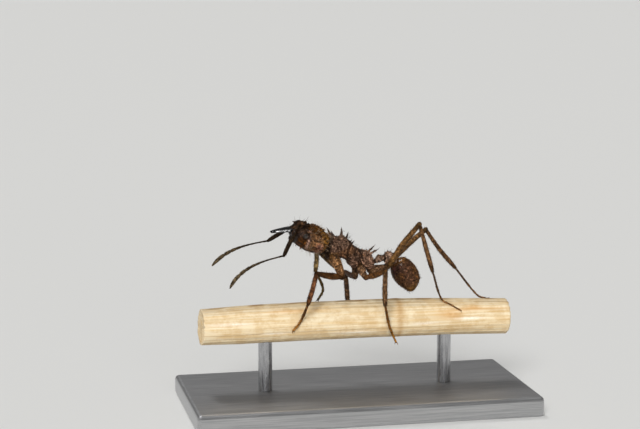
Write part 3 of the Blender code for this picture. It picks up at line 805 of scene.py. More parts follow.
def buildHead():
    bm = bmesh.new()
    cage(bm, ant["headFront"], ant["headBack"], headShape["stations"])
    spikes = []

    def sweepRidge(places, thicknesses, ribs):
        # a ridge through some places, with a thickness at each of them
        route = smoothPath(places, 4)
        rows = [(k / (len(places) - 1), thickness) for k, thickness in enumerate(thicknesses)]
        sweep(bm, route, easedValues(rows, len(route)), ribs=ribs)

    for side in sides.values():
        for along, out, up, *radii in headShape["lumps"]:
            ball(bm, headPoint(along, out * side, up), radii, headAxes)
        brow = headShape["browRidge"]
        sweepRidge([headPoint(along, out * side, up) for along, out, up, _ in brow],
                   [row[3] for row in brow], 10)
        for rows in headShape["cheekRidges"]:
            sweepRidge([headPoint(along, headOut(along, up) * side, up) for along, up, _ in rows],
                       [row[2] for row in rows], 8)
        socket = [headPoint(eye["along"] + eye["socket"] * math.cos(turn),
                            (eye["out"] - 0.1 * abs(math.sin(turn))) * side,
                            eye["up"] + eye["socket"] * math.sin(turn))
                  for turn in [math.tau * k / 20 for k in range(21)]]
        sweep(bm, socket, [eye["thickness"]] * len(socket), ribs=8)
        for along, out, up, back, spread, rise, radius in headShape["thorns"]:
            base = headPoint(along, out * side, up)
            tip = headPoint(along + back, (out + spread) * side, up + rise)
            spike(bm, base - (tip - base) * 0.35, tip, radius * 1.5)
            spikes.append((base, tip, radius, (0, 0, 0)))
    mesh = fused(bm, headShape["voxel"])
    roughen(mesh, [(0.02, 5.0), (0.015, 12.0)], 1)

    def coarseSkin(places, normals):
        along, out, up = headCoordinates(places)
        return (along > 0.55) & (up > -0.5) & (fromEye(along, up) > 0.29)
    raisePimples(mesh, *headShape["pimples"], 11, coarseSkin)
    withSpikes(mesh, spikes)
    paint(mesh, headColour, 1.4)
    along, out, up = headCoordinates(arraysOf(mesh)[0])
    polish(mesh, ramp(0.3 - along, 0.0, 0.15) * ramp(0.2 - up, 0.0, 0.2))
    skinCopy = mesh.copy()
    addPiece("headCapsule", mesh, cuticles["headCuticle"], "head")
    return skinCopy


def facetedEye(centre, radii):
    # a dome of six-sided facets, one round each point of a ball
    coarse = bmesh.new()
    bmesh.ops.create_icosphere(coarse, subdivisions=4, radius=1)
    turn = Matrix(headAxes).transposed()
    bm = bmesh.new()
    corners = {}
    for face in coarse.faces:
        outward = face.calc_center_median().normalized()
        corners[face.index] = bm.verts.new(centre + turn @ Vector([a * r for a, r in zip(outward, radii)]))
    for vert in coarse.verts:
        first = vert.normal.orthogonal()
        second = vert.normal.cross(first)

        def turnOf(face):
            offset = face.calc_center_median() - vert.co
            return math.atan2(offset.dot(second), offset.dot(first))
        bm.faces.new([corners[face.index] for face in sorted(vert.link_faces, key=turnOf)])
    coarse.free()
    bmesh.ops.recalc_face_normals(bm, faces=bm.faces)
    bmesh.ops.poke(bm, faces=bm.faces[:], offset=0.004)
    return meshOf(bm)


def buildEyes():
    for name, side in sides.items():
        mesh = facetedEye(headPoint(eye["along"], eye["out"] * side, eye["up"]), eye["radii"])
        addPiece(f"eye{name}", mesh, cuticles["eyeFacets"], f"eye_{name.lower()}")


# droop is the blade's height at the hinge, its slope and its curl
# layers run from its bottom at -1 to its top at 1, with how far its outer edge is cut back there
jawShape = {"length": 1.05, "thickness": 0.15, "taper": 0.4, "droop": (0.14, -0.44, -0.09),
            "layers": ((-1, 0.035), (-0.6, 0.0), (-0.1, 0.0), (0.95, 0.068), (1, 0.09)), "teeth": 7,
            "voxel": 0.01}


def buildJaws():
    # the outer edge swells from the hinge, runs straight past the middle and hooks in to the tip
    tip, heel = Vector((jawShape["length"], 0.05)), Vector((0.4, 0.08))
    hinge, shoulder, bend = Vector((0, 0.5)), Vector((0.24, 0.6)), Vector((0.84, 0.34))
    corners = (hinge, shoulder, shoulder.lerp(bend, 0.5), bend, Vector((1.0, 0.19)), tip)
    outline = [Vector(point[:2]) for point in smoothPath([(*point, 0) for point in corners], 3)]
    teeth = jawShape["teeth"]
    for k in range(teeth):
        notch = tip.lerp(heel, (k + 0.55) / teeth) + Vector((0.02, 0.09))
        outline += [notch, tip.lerp(heel, (k + 1) / teeth)]
    outline += [Vector((0.3, 0.16)), Vector((-0.15, 0.2)), Vector((-0.15, 0.52))]
    level, slope, curl = jawShape["droop"]
    for name, side in sides.items():
        bm = bmesh.new()
        layers = []
        for height, cut in jawShape["layers"]:
            ring = []
            for p in outline:
                middle = Vector((p.x, 0.33 - 0.2 * max(p.x, 0)))
                q = middle.lerp(p, 1 - 0.1 * height ** 4)
                q.y -= min(cut, 0.75 * (q.y - middle.y)) if q.y > middle.y else 0
                thinned = 1 - jawShape["taper"] * max(p.x, 0) / jawShape["length"]
                rise = level + slope * p.x + curl * p.x ** 2 + height * jawShape["thickness"] / 2 * thinned
                ring.append(bm.verts.new(headPoint(-q.x, q.y * side, rise)))
            layers.append(ring)
        joinRings(bm, layers)
        bm.faces.new(layers[0])
        bm.faces.new(layers[-1])
        bmesh.ops.triangulate(bm, faces=[face for face in bm.faces if len(face.verts) > 4])
        mesh = fused(bm, jawShape["voxel"])
        addPiece(f"mandible{name}", mesh, cuticles["jawBlack"], f"mandible_{name.lower()}")


headSkin = buildHead()
buildEyes()
buildJaws()
print("head built")


# Feelers

feeler = {
    # where each scape leaves the head, as along, out and up, and where it ends
    "socket": (0.12, 0.36, 0.36),
    "elbows": {"Left": (-3.89, -1.3, 8.015), "Right": (-4.2, 1.3, 8.32)},
    # which way each flagellum turns, and its climb at its start and at its tip
    "bends": {"Left": (170, -14, -66), "Right": (189, -6, -48)},
    "length": 3.18, "steps": 28,
    # how many on a scape and on a flagellum
    "hairs": 170, "clubHairs": 700,
    # the scape's radii and those of the flagellum's joints
    "scape": [(0, 0.08), (0.06, 0.06), (0.2, 0.084), (0.55, 0.11), (0.9, 0.1), (1, 0.07)],
    "joints": [0, 0.085, 0.155, 0.225, 0.3, 0.375, 0.455, 0.54, 0.63, 0.735, 1],
    "widths": [0.042, 0.036, 0.037, 0.04, 0.045, 0.053, 0.063, 0.074, 0.084, 0.09],
    "colours": {"scape": rgb(30, 19, 8), "start": rgb(40, 29, 14), "club": rgb(74, 62, 44)},
}


def feelerRoute(name):
    turn, firstClimb, lastClimb = feeler["bends"][name]
    steps = feeler["steps"]
    route = [Vector(feeler["elbows"][name])]
    for k in range(steps):
        climb = firstClimb + (lastClimb - firstClimb) * ((k + 0.5) / steps) ** 2
        route.append(route[-1] + heading(turn, climb) * feeler["length"] / steps)
    return route


def jointRadius(share):
    # each joint of a flagellum is narrow at both ends, and the last one tapers to its tip
    joints, widths = feeler["joints"], feeler["widths"]
    k = min(int(np.searchsorted(joints, share, side="right")) - 1, len(widths) - 1)
    within = (share - joints[k]) / (joints[k + 1] - joints[k])
    if k < len(widths) - 1:
        return widths[k] * (0.62 + 0.38 * min(1.0, 5 * within, 7 * (1 - within)) ** 0.6 + 0.05 * within)
    tapered = 1 - 0.62 * max(0, within - 0.5) ** 2 / 0.5 ** 2
    return widths[k] * (0.62 + 0.38 * min(1.0, 5 * within) ** 0.6) * tapered


def buildFeelers():
    strands = []
    look = feeler["colours"]
    along, out, up = feeler["socket"]
    for index, (name, side) in enumerate(sides.items()):
        elbow = Vector(feeler["elbows"][name])
        socket = headPoint(along, out * side, up)
        bow = (socket + elbow) / 2 + Vector((-0.06, 0.05 * side, -0.02))
        bm = bmesh.new()
        path = evenPath(smoothPath([socket, bow, elbow], 10), 30)
        sweep(bm, path, easedValues(feeler["scape"], 30), ribs=16)
        mesh = meshOf(bm)
        roughen(mesh, [(0.004, 9.0)], 20 + index)
        paint(mesh, lambda places, normals: np.tile(look["scape"], (len(places), 1)))
        unwrap = aroundLine(socket, elbow, index * 2, 4)
        lie = (elbow - socket).normalized()
        strands.append(grownHairs(mesh, feeler["hairs"], (30 + index, 40 + index), lie, "feeler", unwrap))
        node = f"antenna_scape_{name.lower()}"
        addPiece(f"scape{name}", mesh, cuticles["feelerCuticle"], node)

        path = evenPath(feelerRoute(name), 101)
        bm = bmesh.new()
        sweep(bm, path, [jointRadius(share) for share in np.linspace(0, 1, 101)], ribs=14)
        mesh = meshOf(bm)
        start, tip = path[0], path[-1]

        def clubColour(places, normals):
            share = np.linalg.norm(places - rowOf(start), axis=1) / (tip - start).length
            return laidOver(np.tile(look["start"], (len(places), 1)), look["club"], ramp(share, 0.35, 0.85))
        paint(mesh, clubColour, 0.6)
        unwrap = aroundLine(start, tip, index * 2 + 1, 4)
        lie = (tip - start).normalized()
        strands.append(grownHairs(mesh, feeler["clubHairs"], (50 + index, 60 + index), lie, "club", unwrap))
        node = f"antenna_flagellum_{name.lower()}"
        addPiece(f"flagellum{name}", mesh, cuticles["feelerCuticle"], node)
    addCoat("feelerHairs", strands, "brownHair")


buildFeelers()
print("feelers built")


# Trunk and waist: each plate is a smoothed line of stations with lumps, ridges and thorns fused on

# stations are fraction, lift, half height and half width, lumps are centre and radii,
# thorns are base, tip, radius and bow
plates = {
    "pronotum": {
        "line": ((-1.52, 8.1), (-0.72, 8.06)),
        "stations": [(0.0, 0.0, 0.2, 0.22), (0.18, 0.0, 0.34, 0.42), (0.5, 0.02, 0.48, 0.6),
                     (0.85, 0.03, 0.48, 0.6), (1.0, 0.02, 0.38, 0.48)],
        "lumps": [((-1.08, 0.36, 8.0), (0.36, 0.27, 0.44)), ((-1.02, 0.22, 8.37), (0.26, 0.24, 0.25)),
                  ((-1.62, 0.0, 8.0), (0.3, 0.2, 0.2)), ((-1.3, 0.26, 7.68), (0.2, 0.18, 0.2))],
        "thorns": [((-1.14, 0.33, 8.46), (-1.38, 0.5, 9.04), 0.072, (0.05, 0, 0)),
                   ((-1.05, 0.5, 7.85), (-1.22, 0.72, 7.55), 0.05, (0, 0, 0)),
                   ((-0.94, 0.12, 8.56), (-0.95, 0.14, 8.68), 0.035, (0, 0, 0))],
        "ridges": [[(-1.3, 0.54, 8.3), (-1.26, 0.62, 8.0), (-1.12, 0.6, 7.75)]],
    },
    "mesothorax": {
        "line": ((-0.95, 8.08), (0.26, 7.5)),
        "stations": [(0.0, 0.04, 0.36, 0.44), (0.15, 0.08, 0.45, 0.6), (0.42, 0.08, 0.44, 0.6),
                     (0.66, -0.04, 0.46, 0.56), (0.88, -0.09, 0.51, 0.5), (1.0, -0.06, 0.4, 0.4)],
        "lumps": [((-0.64, 0.36, 8.02), (0.44, 0.29, 0.44)), ((-0.1, 0.34, 7.46), (0.34, 0.22, 0.42)),
                  ((-0.72, 0.2, 8.38), (0.3, 0.24, 0.29)), ((-0.48, 0.16, 8.24), (0.25, 0.2, 0.25))],
        "thorns": [((-0.66, 0.36, 8.42), (-0.56, 0.8, 9.0), 0.072, (0.03, -0.02, 0)),
                   ((-0.34, 0.16, 8.16), (-0.12, 0.22, 8.45), 0.055, (0, 0, 0.02)),
                   ((-0.2, 0.16, 7.98), (-0.06, 0.2, 8.14), 0.05, (0, 0, 0)),
                   ((-0.2, 0.5, 7.72), (-0.18, 0.66, 7.84), 0.035, (0, 0, 0))],
        "ridges": [[(-0.8, 0.6, 7.78), (-0.66, 0.62, 7.7), (-0.56, 0.6, 7.66)],
                   [(-0.3, 0.62, 7.8), (-0.2, 0.6, 7.6), (-0.16, 0.54, 7.4)]],
    },
    "propodeum": {
        "line": ((0.08, 7.58), (0.98, 7.26)),
        "stations": [(0.0, 0.0, 0.42, 0.4), (0.16, 0.0, 0.46, 0.46), (0.44, 0.0, 0.44, 0.45),
                     (0.68, -0.02, 0.37, 0.38), (0.86, -0.07, 0.23, 0.25), (1.0, -0.07, 0.13, 0.15)],
        "lumps": [((0.46, 0.28, 7.32), (0.34, 0.19, 0.3)), ((0.7, 0.24, 7.1), (0.2, 0.15, 0.16)),
                  ((0.32, 0.16, 7.72), (0.3, 0.18, 0.19)), ((0.6, 0.18, 7.67), (0.17, 0.15, 0.17)),
                  ((0.3, 0.34, 7.08), (0.18, 0.15, 0.15))],
        "thorns": [((0.66, 0.24, 7.76), (1.13, 0.48, 8.1), 0.045, (0.0, 0, -0.05)),
                   ((0.38, 0.14, 7.86), (0.34, 0.15, 7.97), 0.045, (0, 0, 0)),
                   ((0.14, 0.2, 7.9), (0.12, 0.22, 8.0), 0.045, (0, 0, 0)),
                   ((0.58, 0.16, 7.84), (0.6, 0.18, 7.92), 0.035, (0, 0, 0))],
        "ridges": [[(0.3, 0.46, 7.74), (0.52, 0.46, 7.52), (0.7, 0.38, 7.3)],
                   [(0.62, 0.4, 7.54), (0.7, 0.39, 7.48)],
                   [(0.08, 0.5, 7.8), (0.16, 0.52, 7.5), (0.32, 0.5, 7.26), (0.56, 0.44, 7.14)]],
    },
    "petiole": {
        "line": ((0.92, 7.3), (1.52, 7.43)),
        "stations": [(0.0, -0.01, 0.1, 0.13), (0.2, 0.02, 0.13, 0.18), (0.46, 0.08, 0.18, 0.25),
                     (0.72, 0.08, 0.16, 0.23), (1.0, 0.05, 0.16, 0.18)],
        "lumps": [((1.2, 0.08, 7.48), (0.15, 0.14, 0.15)), ((1.4, 0.08, 7.47), (0.12, 0.12, 0.12))],
        "thorns": [((1.2, 0.08, 7.58), (1.22, 0.12, 7.67), 0.04, (0, 0, 0)),
                   ((1.42, 0.08, 7.56), (1.45, 0.12, 7.66), 0.035, (0, 0, 0)),
                   ((1.24, 0.2, 7.44), (1.27, 0.3, 7.48), 0.035, (0, 0, 0))],
        "ridges": [],
    },
    "postpetiole": {
        "line": ((1.44, 7.42), (2.12, 7.34)),
        "stations": [(0.0, 0.02, 0.2, 0.22), (0.18, 0.03, 0.29, 0.32), (0.48, 0.06, 0.36, 0.43),
                     (0.76, 0.02, 0.33, 0.4), (1.0, -0.02, 0.2, 0.26)],
        "lumps": [((1.72, 0.16, 7.6), (0.22, 0.19, 0.17))],
        "thorns": [((1.68, 0.16, 7.72), (1.67, 0.2, 7.84), 0.045, (0, 0, 0)),
                   ((1.84, 0.2, 7.66), (1.87, 0.24, 7.78), 0.045, (0, 0, 0)),
                   ((1.56, 0.14, 7.68), (1.53, 0.18, 7.77), 0.04, (0, 0, 0)),
                   ((1.74, 0.36, 7.44), (1.74, 0.48, 7.48), 0.035, (0, 0, 0))],
        "ridges": [],
    },
}
trunkLook = {
    "voxel": 0.02,
    "top": rgb(93, 71, 56), "side": rgb(92, 68, 54), "under": rgb(58, 36, 20), "waist": rgb(116, 92, 76),
    "rust": rgb(88, 58, 34), "tip": rgb(48, 38, 32), "collar": rgb(88, 60, 24), "seamShade": rgb(20, 10, 5),
    "lift": {"propodeum": 1.85, "petiole": 1.5, "postpetiole": 1.5},
    # the seam colour is painted shade between the parts and in the grooves; the reach is how far that painted
    # shade spreads from a neighbouring skin, the groove value how dark it is in the grooves
    "shadeReach": 0.075, "grooveShade": 0.4,
    # grooves down both sides, as (x, z)
    "creases": [[(-0.28, 8.5), (-0.4, 8.22), (-0.5, 8.03), (-0.55, 7.8), (-0.5, 7.55), (-0.42, 7.42)],
                [(-0.06, 8.1), (-0.08, 7.85), (-0.03, 7.6), (0.08, 7.36), (0.26, 7.14)]],
    "creaseWidth": 0.1, "creaseDepth": 0.065,
    # a pimple's radius and height
    "pimple": (0.035, 0.034), "ridgeRadius": 0.035,
    # pimples, hairs, down, noise as (height, frequency) and how dark the painted shade in the creases is, for
    # thorax and waist
    "thorax": (260, 220, 420, [(0.02, 4.5), (0.022, 12.0)], 1.2),
    "waistPlates": (60, 90, 110, [(0.012, 5.0), (0.012, 12.0)], 0.9),
}


def plateColour(name, thorns):
    def colourAt(places, normals):
        rows = [("top", ramp(normals[:, 2], 0.1, 0.8)),
                ("rust", ramp(mottle(places, 1.3, 9), 0.5, 0.8) * 0.7),
                # downward-facing skin darker: partly the cuticle's own tone, partly painted shade
                ("under", ramp(-normals[:, 2], 0.3, 0.9))]
        if "petiole" in name:
            rows.insert(1, ("waist", np.full(len(places), 0.8)))
        if name == "pronotum":
            rows += [("collar", ramp(8.02 - places[:, 2], 0.0, 0.25) * ramp(-0.95 - places[:, 0], 0.0, 0.2)),
                     # painted shade along the front edge, next to the head
                     ("seamShade", ramp(-1.34 - places[:, 0], 0.0, 0.1) * 0.9)]
        for base, tip in thorns:
            reach = np.linalg.norm(places - rowOf(tip), axis=1) / (tip - base).length
            rows.append(("tip", 1 - ramp(reach, 0.4, 0.95)))
        colour = layered(trunkLook["side"], trunkLook, rows)
        return colour * (0.74 + 0.52 * mottle(places, 2.8, 15))[:, None] * trunkLook["lift"].get(name, 1.0)
    return colourAt


def nearness(places, others, reach):
    # 1 where another skin lies close by, 0 beyond the reach
    tree = treeOf(others)
    gaps = np.array([tree.find(place)[2] for place in places])
    return 1 - ramp(gaps, 0.35 * reach, reach)


def groovesAt(places):
    # 1 in the grooves down the sides, 0 beyond them
    depth = np.zeros(len(places))
    for crease in trunkLook["creases"]:
        line = smoothPath([(x, 0, z) for x, z in crease], 8)
        depth = np.maximum(depth, nearness(places * (1, 0, 1), line, trunkLook["creaseWidth"]))
    return depth * ramp(np.abs(places[:, 1]), 0.2, 0.35)


def plateLook(name):
    return trunkLook["waistPlates" if "petiole" in name else "thorax"]


def shapePlate(name, plate, index):
    # the plate's mesh, its thorns, and how deep each vertex lies in a groove
    bm = bmesh.new()
    cage(bm, *plate["line"], plate["stations"], 8 if "petiole" in name else 10)
    thorns = []
    for side in sides.values():
        for centre, radii in plate["lumps"]:
            ball(bm, mirrored(centre, side), radii)
        for base, tip, radius, bow in plate["thorns"]:
            base, tip = mirrored(base, side), mirrored(tip, side)
            spike(bm, base - (tip - base) * 0.25, tip, radius * 1.35, flare=2.0)
            thorns.append((base, tip, radius, mirrored(bow, side)))
        for ridge in plate["ridges"]:
            route = smoothPath([mirrored(place, side) for place in ridge], 5)
            sweep(bm, route, [trunkLook["ridgeRadius"]] * len(route), ribs=8)
    mesh = fused(bm, trunkLook["voxel"])
    places, normals = arraysOf(mesh)
    grooves = groovesAt(places)
    mesh.vertices.foreach_set("co", (places - normals * grooves[:, None] * trunkLook["creaseDepth"]).ravel())
    mesh.update()
    pimples, _, _, bumps, _ = plateLook(name)
    roughen(mesh, bumps, 60 + index)
    raisePimples(mesh, pimples, *trunkLook["pimple"], 70 + index)
    withSpikes(mesh, thorns)
    return mesh, thorns, grooves


def buildPlates():
    built = {name: shapePlate(name, plate, index) for index, (name, plate) in enumerate(plates.items())}
    skins = {name: arraysOf(mesh)[0] for name, (mesh, _, _) in built.items()}
    skins["head"] = arraysOf(headSkin)[0]
    strands = []
    for index, (name, (mesh, thorns, grooves)) in enumerate(built.items()):
        _, hairs, down, _, shade = plateLook(name)
        bare = plateColour(name, [thorn[:2] for thorn in thorns])
        # painted shade in the grooves and where another plate or the head lies close
        paintedShade = np.zeros(len(skins[name]))
        paintedShade[:len(grooves)] = grooves * trunkLook["grooveShade"]
        for other, skin in skins.items():
            if other != name:
                strength = 0.3 if {name, other} == {"pronotum", "mesothorax"} else 0.85
                paintedShade = np.maximum(paintedShade, strength * nearness(skins[name], skin, trunkLook["shadeReach"]))

        # the plate's colour with the painted shade laid over it
        def withPaintedShade(places, normals):
            return laidOver(bare(places, normals), trunkLook["seamShade"], paintedShade)
        paint(mesh, withPaintedShade, shade)
        first, last = [Vector((x, 0, z)) for x, z in plates[name]["line"]]
        unwrap = aroundLine(first, last, index, len(plates))
        strands.append(grownHairs(mesh, hairs, (80 + index, 90 + index), (0.7, 0, -0.2), "trunk", unwrap))
        strands.append(grownHairs(mesh, down, (84 + index, 95 + index), (0.8, 0, -0.4), "down", unwrap))
        addPiece(f"{name}Plate", mesh, cuticles["trunkCuticle"], name)
    addCoat("trunkHairs", strands, "brownHair")


def buildHeadHairs():
    def awayFromEye(places, normals):
        along, out, up = headCoordinates(places)
        return ~((fromEye(along, up) ** 2 < 0.05) & (out > 0.6))

    def behindEye(places, normals):
        return awayFromEye(places, normals) & (headCoordinates(places)[0] > 0.62)

    def beforeEye(places, normals):
        return awayFromEye(places, normals) & (headCoordinates(places)[0] <= 0.62)
    lie = headAxis * 0.6
    unwrap = aroundLine(headStart, headStart + headAxis * headLength)
    hairs, frontHairs, down = headShape["hairs"]
    addCoat("headHairs", [grownHairs(headSkin, hairs, (101, 102), lie, "head", unwrap, behindEye)],
            "paleHair")
    addCoat("headDown", [grownHairs(headSkin, frontHairs, (105, 106), lie, "head", unwrap, beforeEye),
                         grownHairs(headSkin, down, (103, 104), lie, "down", unwrap, awayFromEye)],
            "brownHair")


buildPlates()
buildHeadHairs()
print("trunk and waist built")


# Gaster

gasterShape = {
    "stations": [(0.0, 0.0, 0.19, 0.2), (0.05, -0.01, 0.39, 0.4), (0.17, -0.015, 0.55, 0.58),
                 (0.33, 0.01, 0.66, 0.7), (0.5, 0.05, 0.66, 0.71), (0.68, 0.098, 0.6, 0.65),
                 (0.81, 0.108, 0.45, 0.49), (0.91, 0.065, 0.26, 0.29), (0.975, 0.012, 0.1, 0.11)],
    "voxel": 0.022, "parted": 0.72,
    "bumpRows": {"turns": (-62, -24, 24, 62), "fractions": (0.16, 0.27, 0.38, 0.49, 0.6, 0.7),
                 "radii": (0.055, 0.055, 0.035)},
    # how many, and their radius and height
    "pimples": (420, 0.036, 0.014),
    # how many hairs and how much down
    "hairs": {"gasterPlate": (300, 2400), "gasterTip": (130, 400)},
    "rings": {"edges": (0.7, 0.785, 0.855, 0.915, 1.02), "narrow": 0.955, "flare": 0.035},
    # which way the bare and shiny part of each shoulder faces
    "bareShoulder": (-0.47, 0.671, 0.574),
    "colours": {"back": rgb(76, 50, 35), "front": rgb(34, 16, 10), "rim": rgb(104, 66, 18),
                "belly": rgb(52, 28, 12), "rust": rgb(96, 60, 24), "plum": rgb(38, 18, 20),
                "tail": rgb(100, 74, 34)},
}
gasterStart, gasterAxis, gasterUp, gasterLength = flatLine(ant["gasterTop"], ant["gasterBottom"])


def gasterRadius(share):
    fractions, _, heights, _ = zip(*gasterShape["stations"])
    return 0.94 * float(np.interp(share, fractions, heights))


def gasterCentre(share):
    fractions, rises, _, _ = zip(*gasterShape["stations"])
    rise = float(np.interp(share, fractions, rises))
    return gasterStart + gasterAxis * gasterLength * share + gasterUp * rise


def gasterShare(places):
    return (places - rowOf(gasterStart)) @ rowOf(gasterAxis) / gasterLength


def gasterColour(places, normals):
    look = gasterShape["colours"]
    away = normals @ rowOf(gasterUp)
    share = gasterShare(places)
    return layered(look["back"], look, [
        ("belly", ramp(-away, 0.2, 0.8)),
        ("rust", ramp(mottle(places, 1.2, 21), 0.55, 0.85) * 0.6),
        ("tail", ramp(share, 0.62, 0.95) * 0.6),
        ("front", ramp(-normals[:, 0], 0.3, 0.9) * 0.8),
        ("plum", ramp(-away, 0.0, 0.4) * ramp(0.4 - share, 0.0, 0.2) * 0.8),
        ("rim", np.maximum(ramp(0.16 - share, 0.0, 0.14), ramp(away, 0.72, 0.95)) * 0.75),
    ]) * (0.75 + 0.5 * mottle(places, 2.6, 23))[:, None]


def bareShare(places, normals):
    # 1 on the bare shoulders
    toward = gasterShape["bareShoulder"]
    outward = normals[:, 1] * np.sign(places[:, 1])
    return ramp(normals[:, 0] * toward[0] + outward * toward[1] + normals[:, 2] * toward[2], 0.84, 0.93)


def slicedPast(mesh, share, keepFront):
    # the part of the gaster before or past a share of its length, closed at the cut
    bm = bmesh.new()
    bm.from_mesh(mesh)
    bmesh.ops.bisect_plane(bm, geom=bm.verts[:] + bm.edges[:] + bm.faces[:], dist=1e-5,
                           plane_co=gasterStart + gasterAxis * gasterLength * share, plane_no=gasterAxis,
                           clear_outer=keepFront, clear_inner=not keepFront)
    bmesh.ops.holes_fill(bm, edges=[one for one in bm.edges if one.is_boundary])
    return meshOf(bm)


def buildGaster():
    bm = bmesh.new()
    cage(bm, ant["gasterTop"], ant["gasterBottom"], gasterShape["stations"], 12)
    rows = gasterShape["bumpRows"]
    for turn in [math.radians(turn) for turn in rows["turns"]]:
        out = (gasterUp * math.cos(turn) + Vector((0, 1, 0)) * math.sin(turn)).normalized()
        for fraction in rows["fractions"]:
            centre = gasterCentre(fraction) + out * gasterRadius(fraction)
            ball(bm, centre, rows["radii"], (gasterAxis, gasterAxis.cross(out), out), 12)
    mesh = fused(bm, gasterShape["voxel"])
    roughen(mesh, [(0.01, 5.0), (0.012, 12.0)], 110, lambda places, normals: 1 - bareShare(places, normals))
    raisePimples(mesh, *gasterShape["pimples"], 111, lambda places, normals: bareShare(places, normals) < 0.1)
    # the plate ends in a thin rim over the narrower rings of the tip
    plate = slicedPast(mesh, gasterShape["parted"], True)
    tip = slicedPast(mesh, gasterShape["parted"] - 0.03, False)
    places, _ = arraysOf(tip)
    share = gasterShare(places)
    rings = gasterShape["rings"]
    within = np.zeros(len(share))
    for low, high in zip(rings["edges"], rings["edges"][1:]):
        inside = (share >= low) & (share < high)
        within[inside] = (share[inside] - low) / (high - low)
    centres = np.array([tuple(gasterCentre(one)) for one in share])
    girth = (rings["narrow"] + rings["flare"] * within)[:, None]
    tip.vertices.foreach_set("co", (centres + (places - centres) * girth).ravel())
    unwrap = aroundLine(gasterStart, gasterStart + gasterAxis * gasterLength)
    strands, downStrands = [], []
    for name, mesh, seed, node in (("gasterPlate", plate, 112, "gaster"),
                                   ("gasterTip", tip, 114, "gaster_tip")):
        paint(mesh, gasterColour, 1.3)
        polish(mesh, bareShare(*arraysOf(mesh)))
        hairs, down = gasterShape["hairs"][name]
        strands.append(grownHairs(mesh, hairs, (seed, seed + 4), gasterAxis, "gaster", unwrap))
        downStrands.append(grownHairs(mesh, down, (seed, seed + 4), gasterAxis, "down", unwrap))
        addPiece(name, mesh, cuticles["gasterCuticle"], node)
    addCoat("gasterHairs", strands, "brownHair")
    addCoat("gasterDown", downStrands, "goldHair")


buildGaster()
print("gaster built")


# Perch's shape, which the feet use too: a dry stem with ribs, an overlapping sheath edge and torn ends

stemLook = {
    "steps": 300, "ribs": 150,
    "fibres": (23, 37, 61), "fibreHeight": 0.007,
    "sheathEdge": {"turn": 0.9, "drift": 0.25, "height": 0.03},
    "ring": {"at": 2.1, "width": 0.17, "height": 0.014},
    "colours": {"dark": rgb(214, 194, 158), "light": rgb(238, 224, 194), "edge": rgb(160, 132, 92),
                "paintedGlint": rgb(255, 250, 242), "blotch": rgb(220, 174, 112), "ring": rgb(196, 160, 108)},
    # each spot's place along and round the stem, then its length and width
    "blotches": ((4.7, -1.25, 0.7, 0.3), (5.9, -0.9, 0.4, 0.16), (-3.4, -0.7, 1.4, 0.12),
                 (6.4, -1.0, 1.6, 0.07), (1.4, 1.2, 0.8, 0.3), (-5.4, 2.2, 0.7, 0.3)),
    # the pale spots below are white painted highlights, given in the same form
    "glintSpots": ((-0.3, -2.05, 0.9, 0.1), (-6.6, -1.3, 0.9, 0.08), (3.4, -1.7, 0.6, 0.05),
                  (-2.0, 0.9, 1.2, 0.1), (-4.4, -1.9, 0.7, 0.06), (5.6, -1.5, 0.8, 0.06)),
    # the rings of a cut end, each as its share of the rim and how far in it lies
    "cutRings": ((0.9, 0.0), (0.8, 0.05), (0.55, 0.09), (0.3, 0.08), (0.12, 0.1)),
    "streaks": {"stretch": (0.3, 10.0, 10.0), "dark": rgb(236, 220, 194), "light": rgb(255, 255, 255),
                "roughness": (0.45, 0.75)},
    "speckle": rgb(232, 216, 190), "bump": 0.03,
}


def stemRadius(along, turn):
    girth = float(np.interp((along / perch["halfLength"] + 1) / 2 * 8, range(9), perch["girth"]))
    radius = perch["radius"] * girth
    for order, rib in enumerate(stemLook["fibres"]):
        radius += stemLook["fibreHeight"] / (order + 1) * math.sin(
            rib * turn + 2.1 * order + 0.6 * math.sin(along * 0.5 + order))
    radius += 0.014 * noise.noise(Vector((along * 0.6, 2.5 * math.cos(turn), 2.5 * math.sin(turn))))
    radius += 0.006 * noise.noise(Vector((along * 1.5, 14 * math.cos(turn), 14 * math.sin(turn))))
    edge = stemLook["sheathEdge"]
    lean = (turn - edge["turn"] - edge["drift"] * math.sin(along * 0.35) + math.pi) % math.tau - math.pi
    if lean < 1:
        radius += edge["height"] * (0.5 - 0.5 * math.tanh(lean * 26)) * math.exp(-max(0, -lean) * 1.1)
    ring = stemLook["ring"]
    return radius + ring["height"] * math.exp(-((along - ring["at"]) / ring["width"]) ** 2)


# Legs

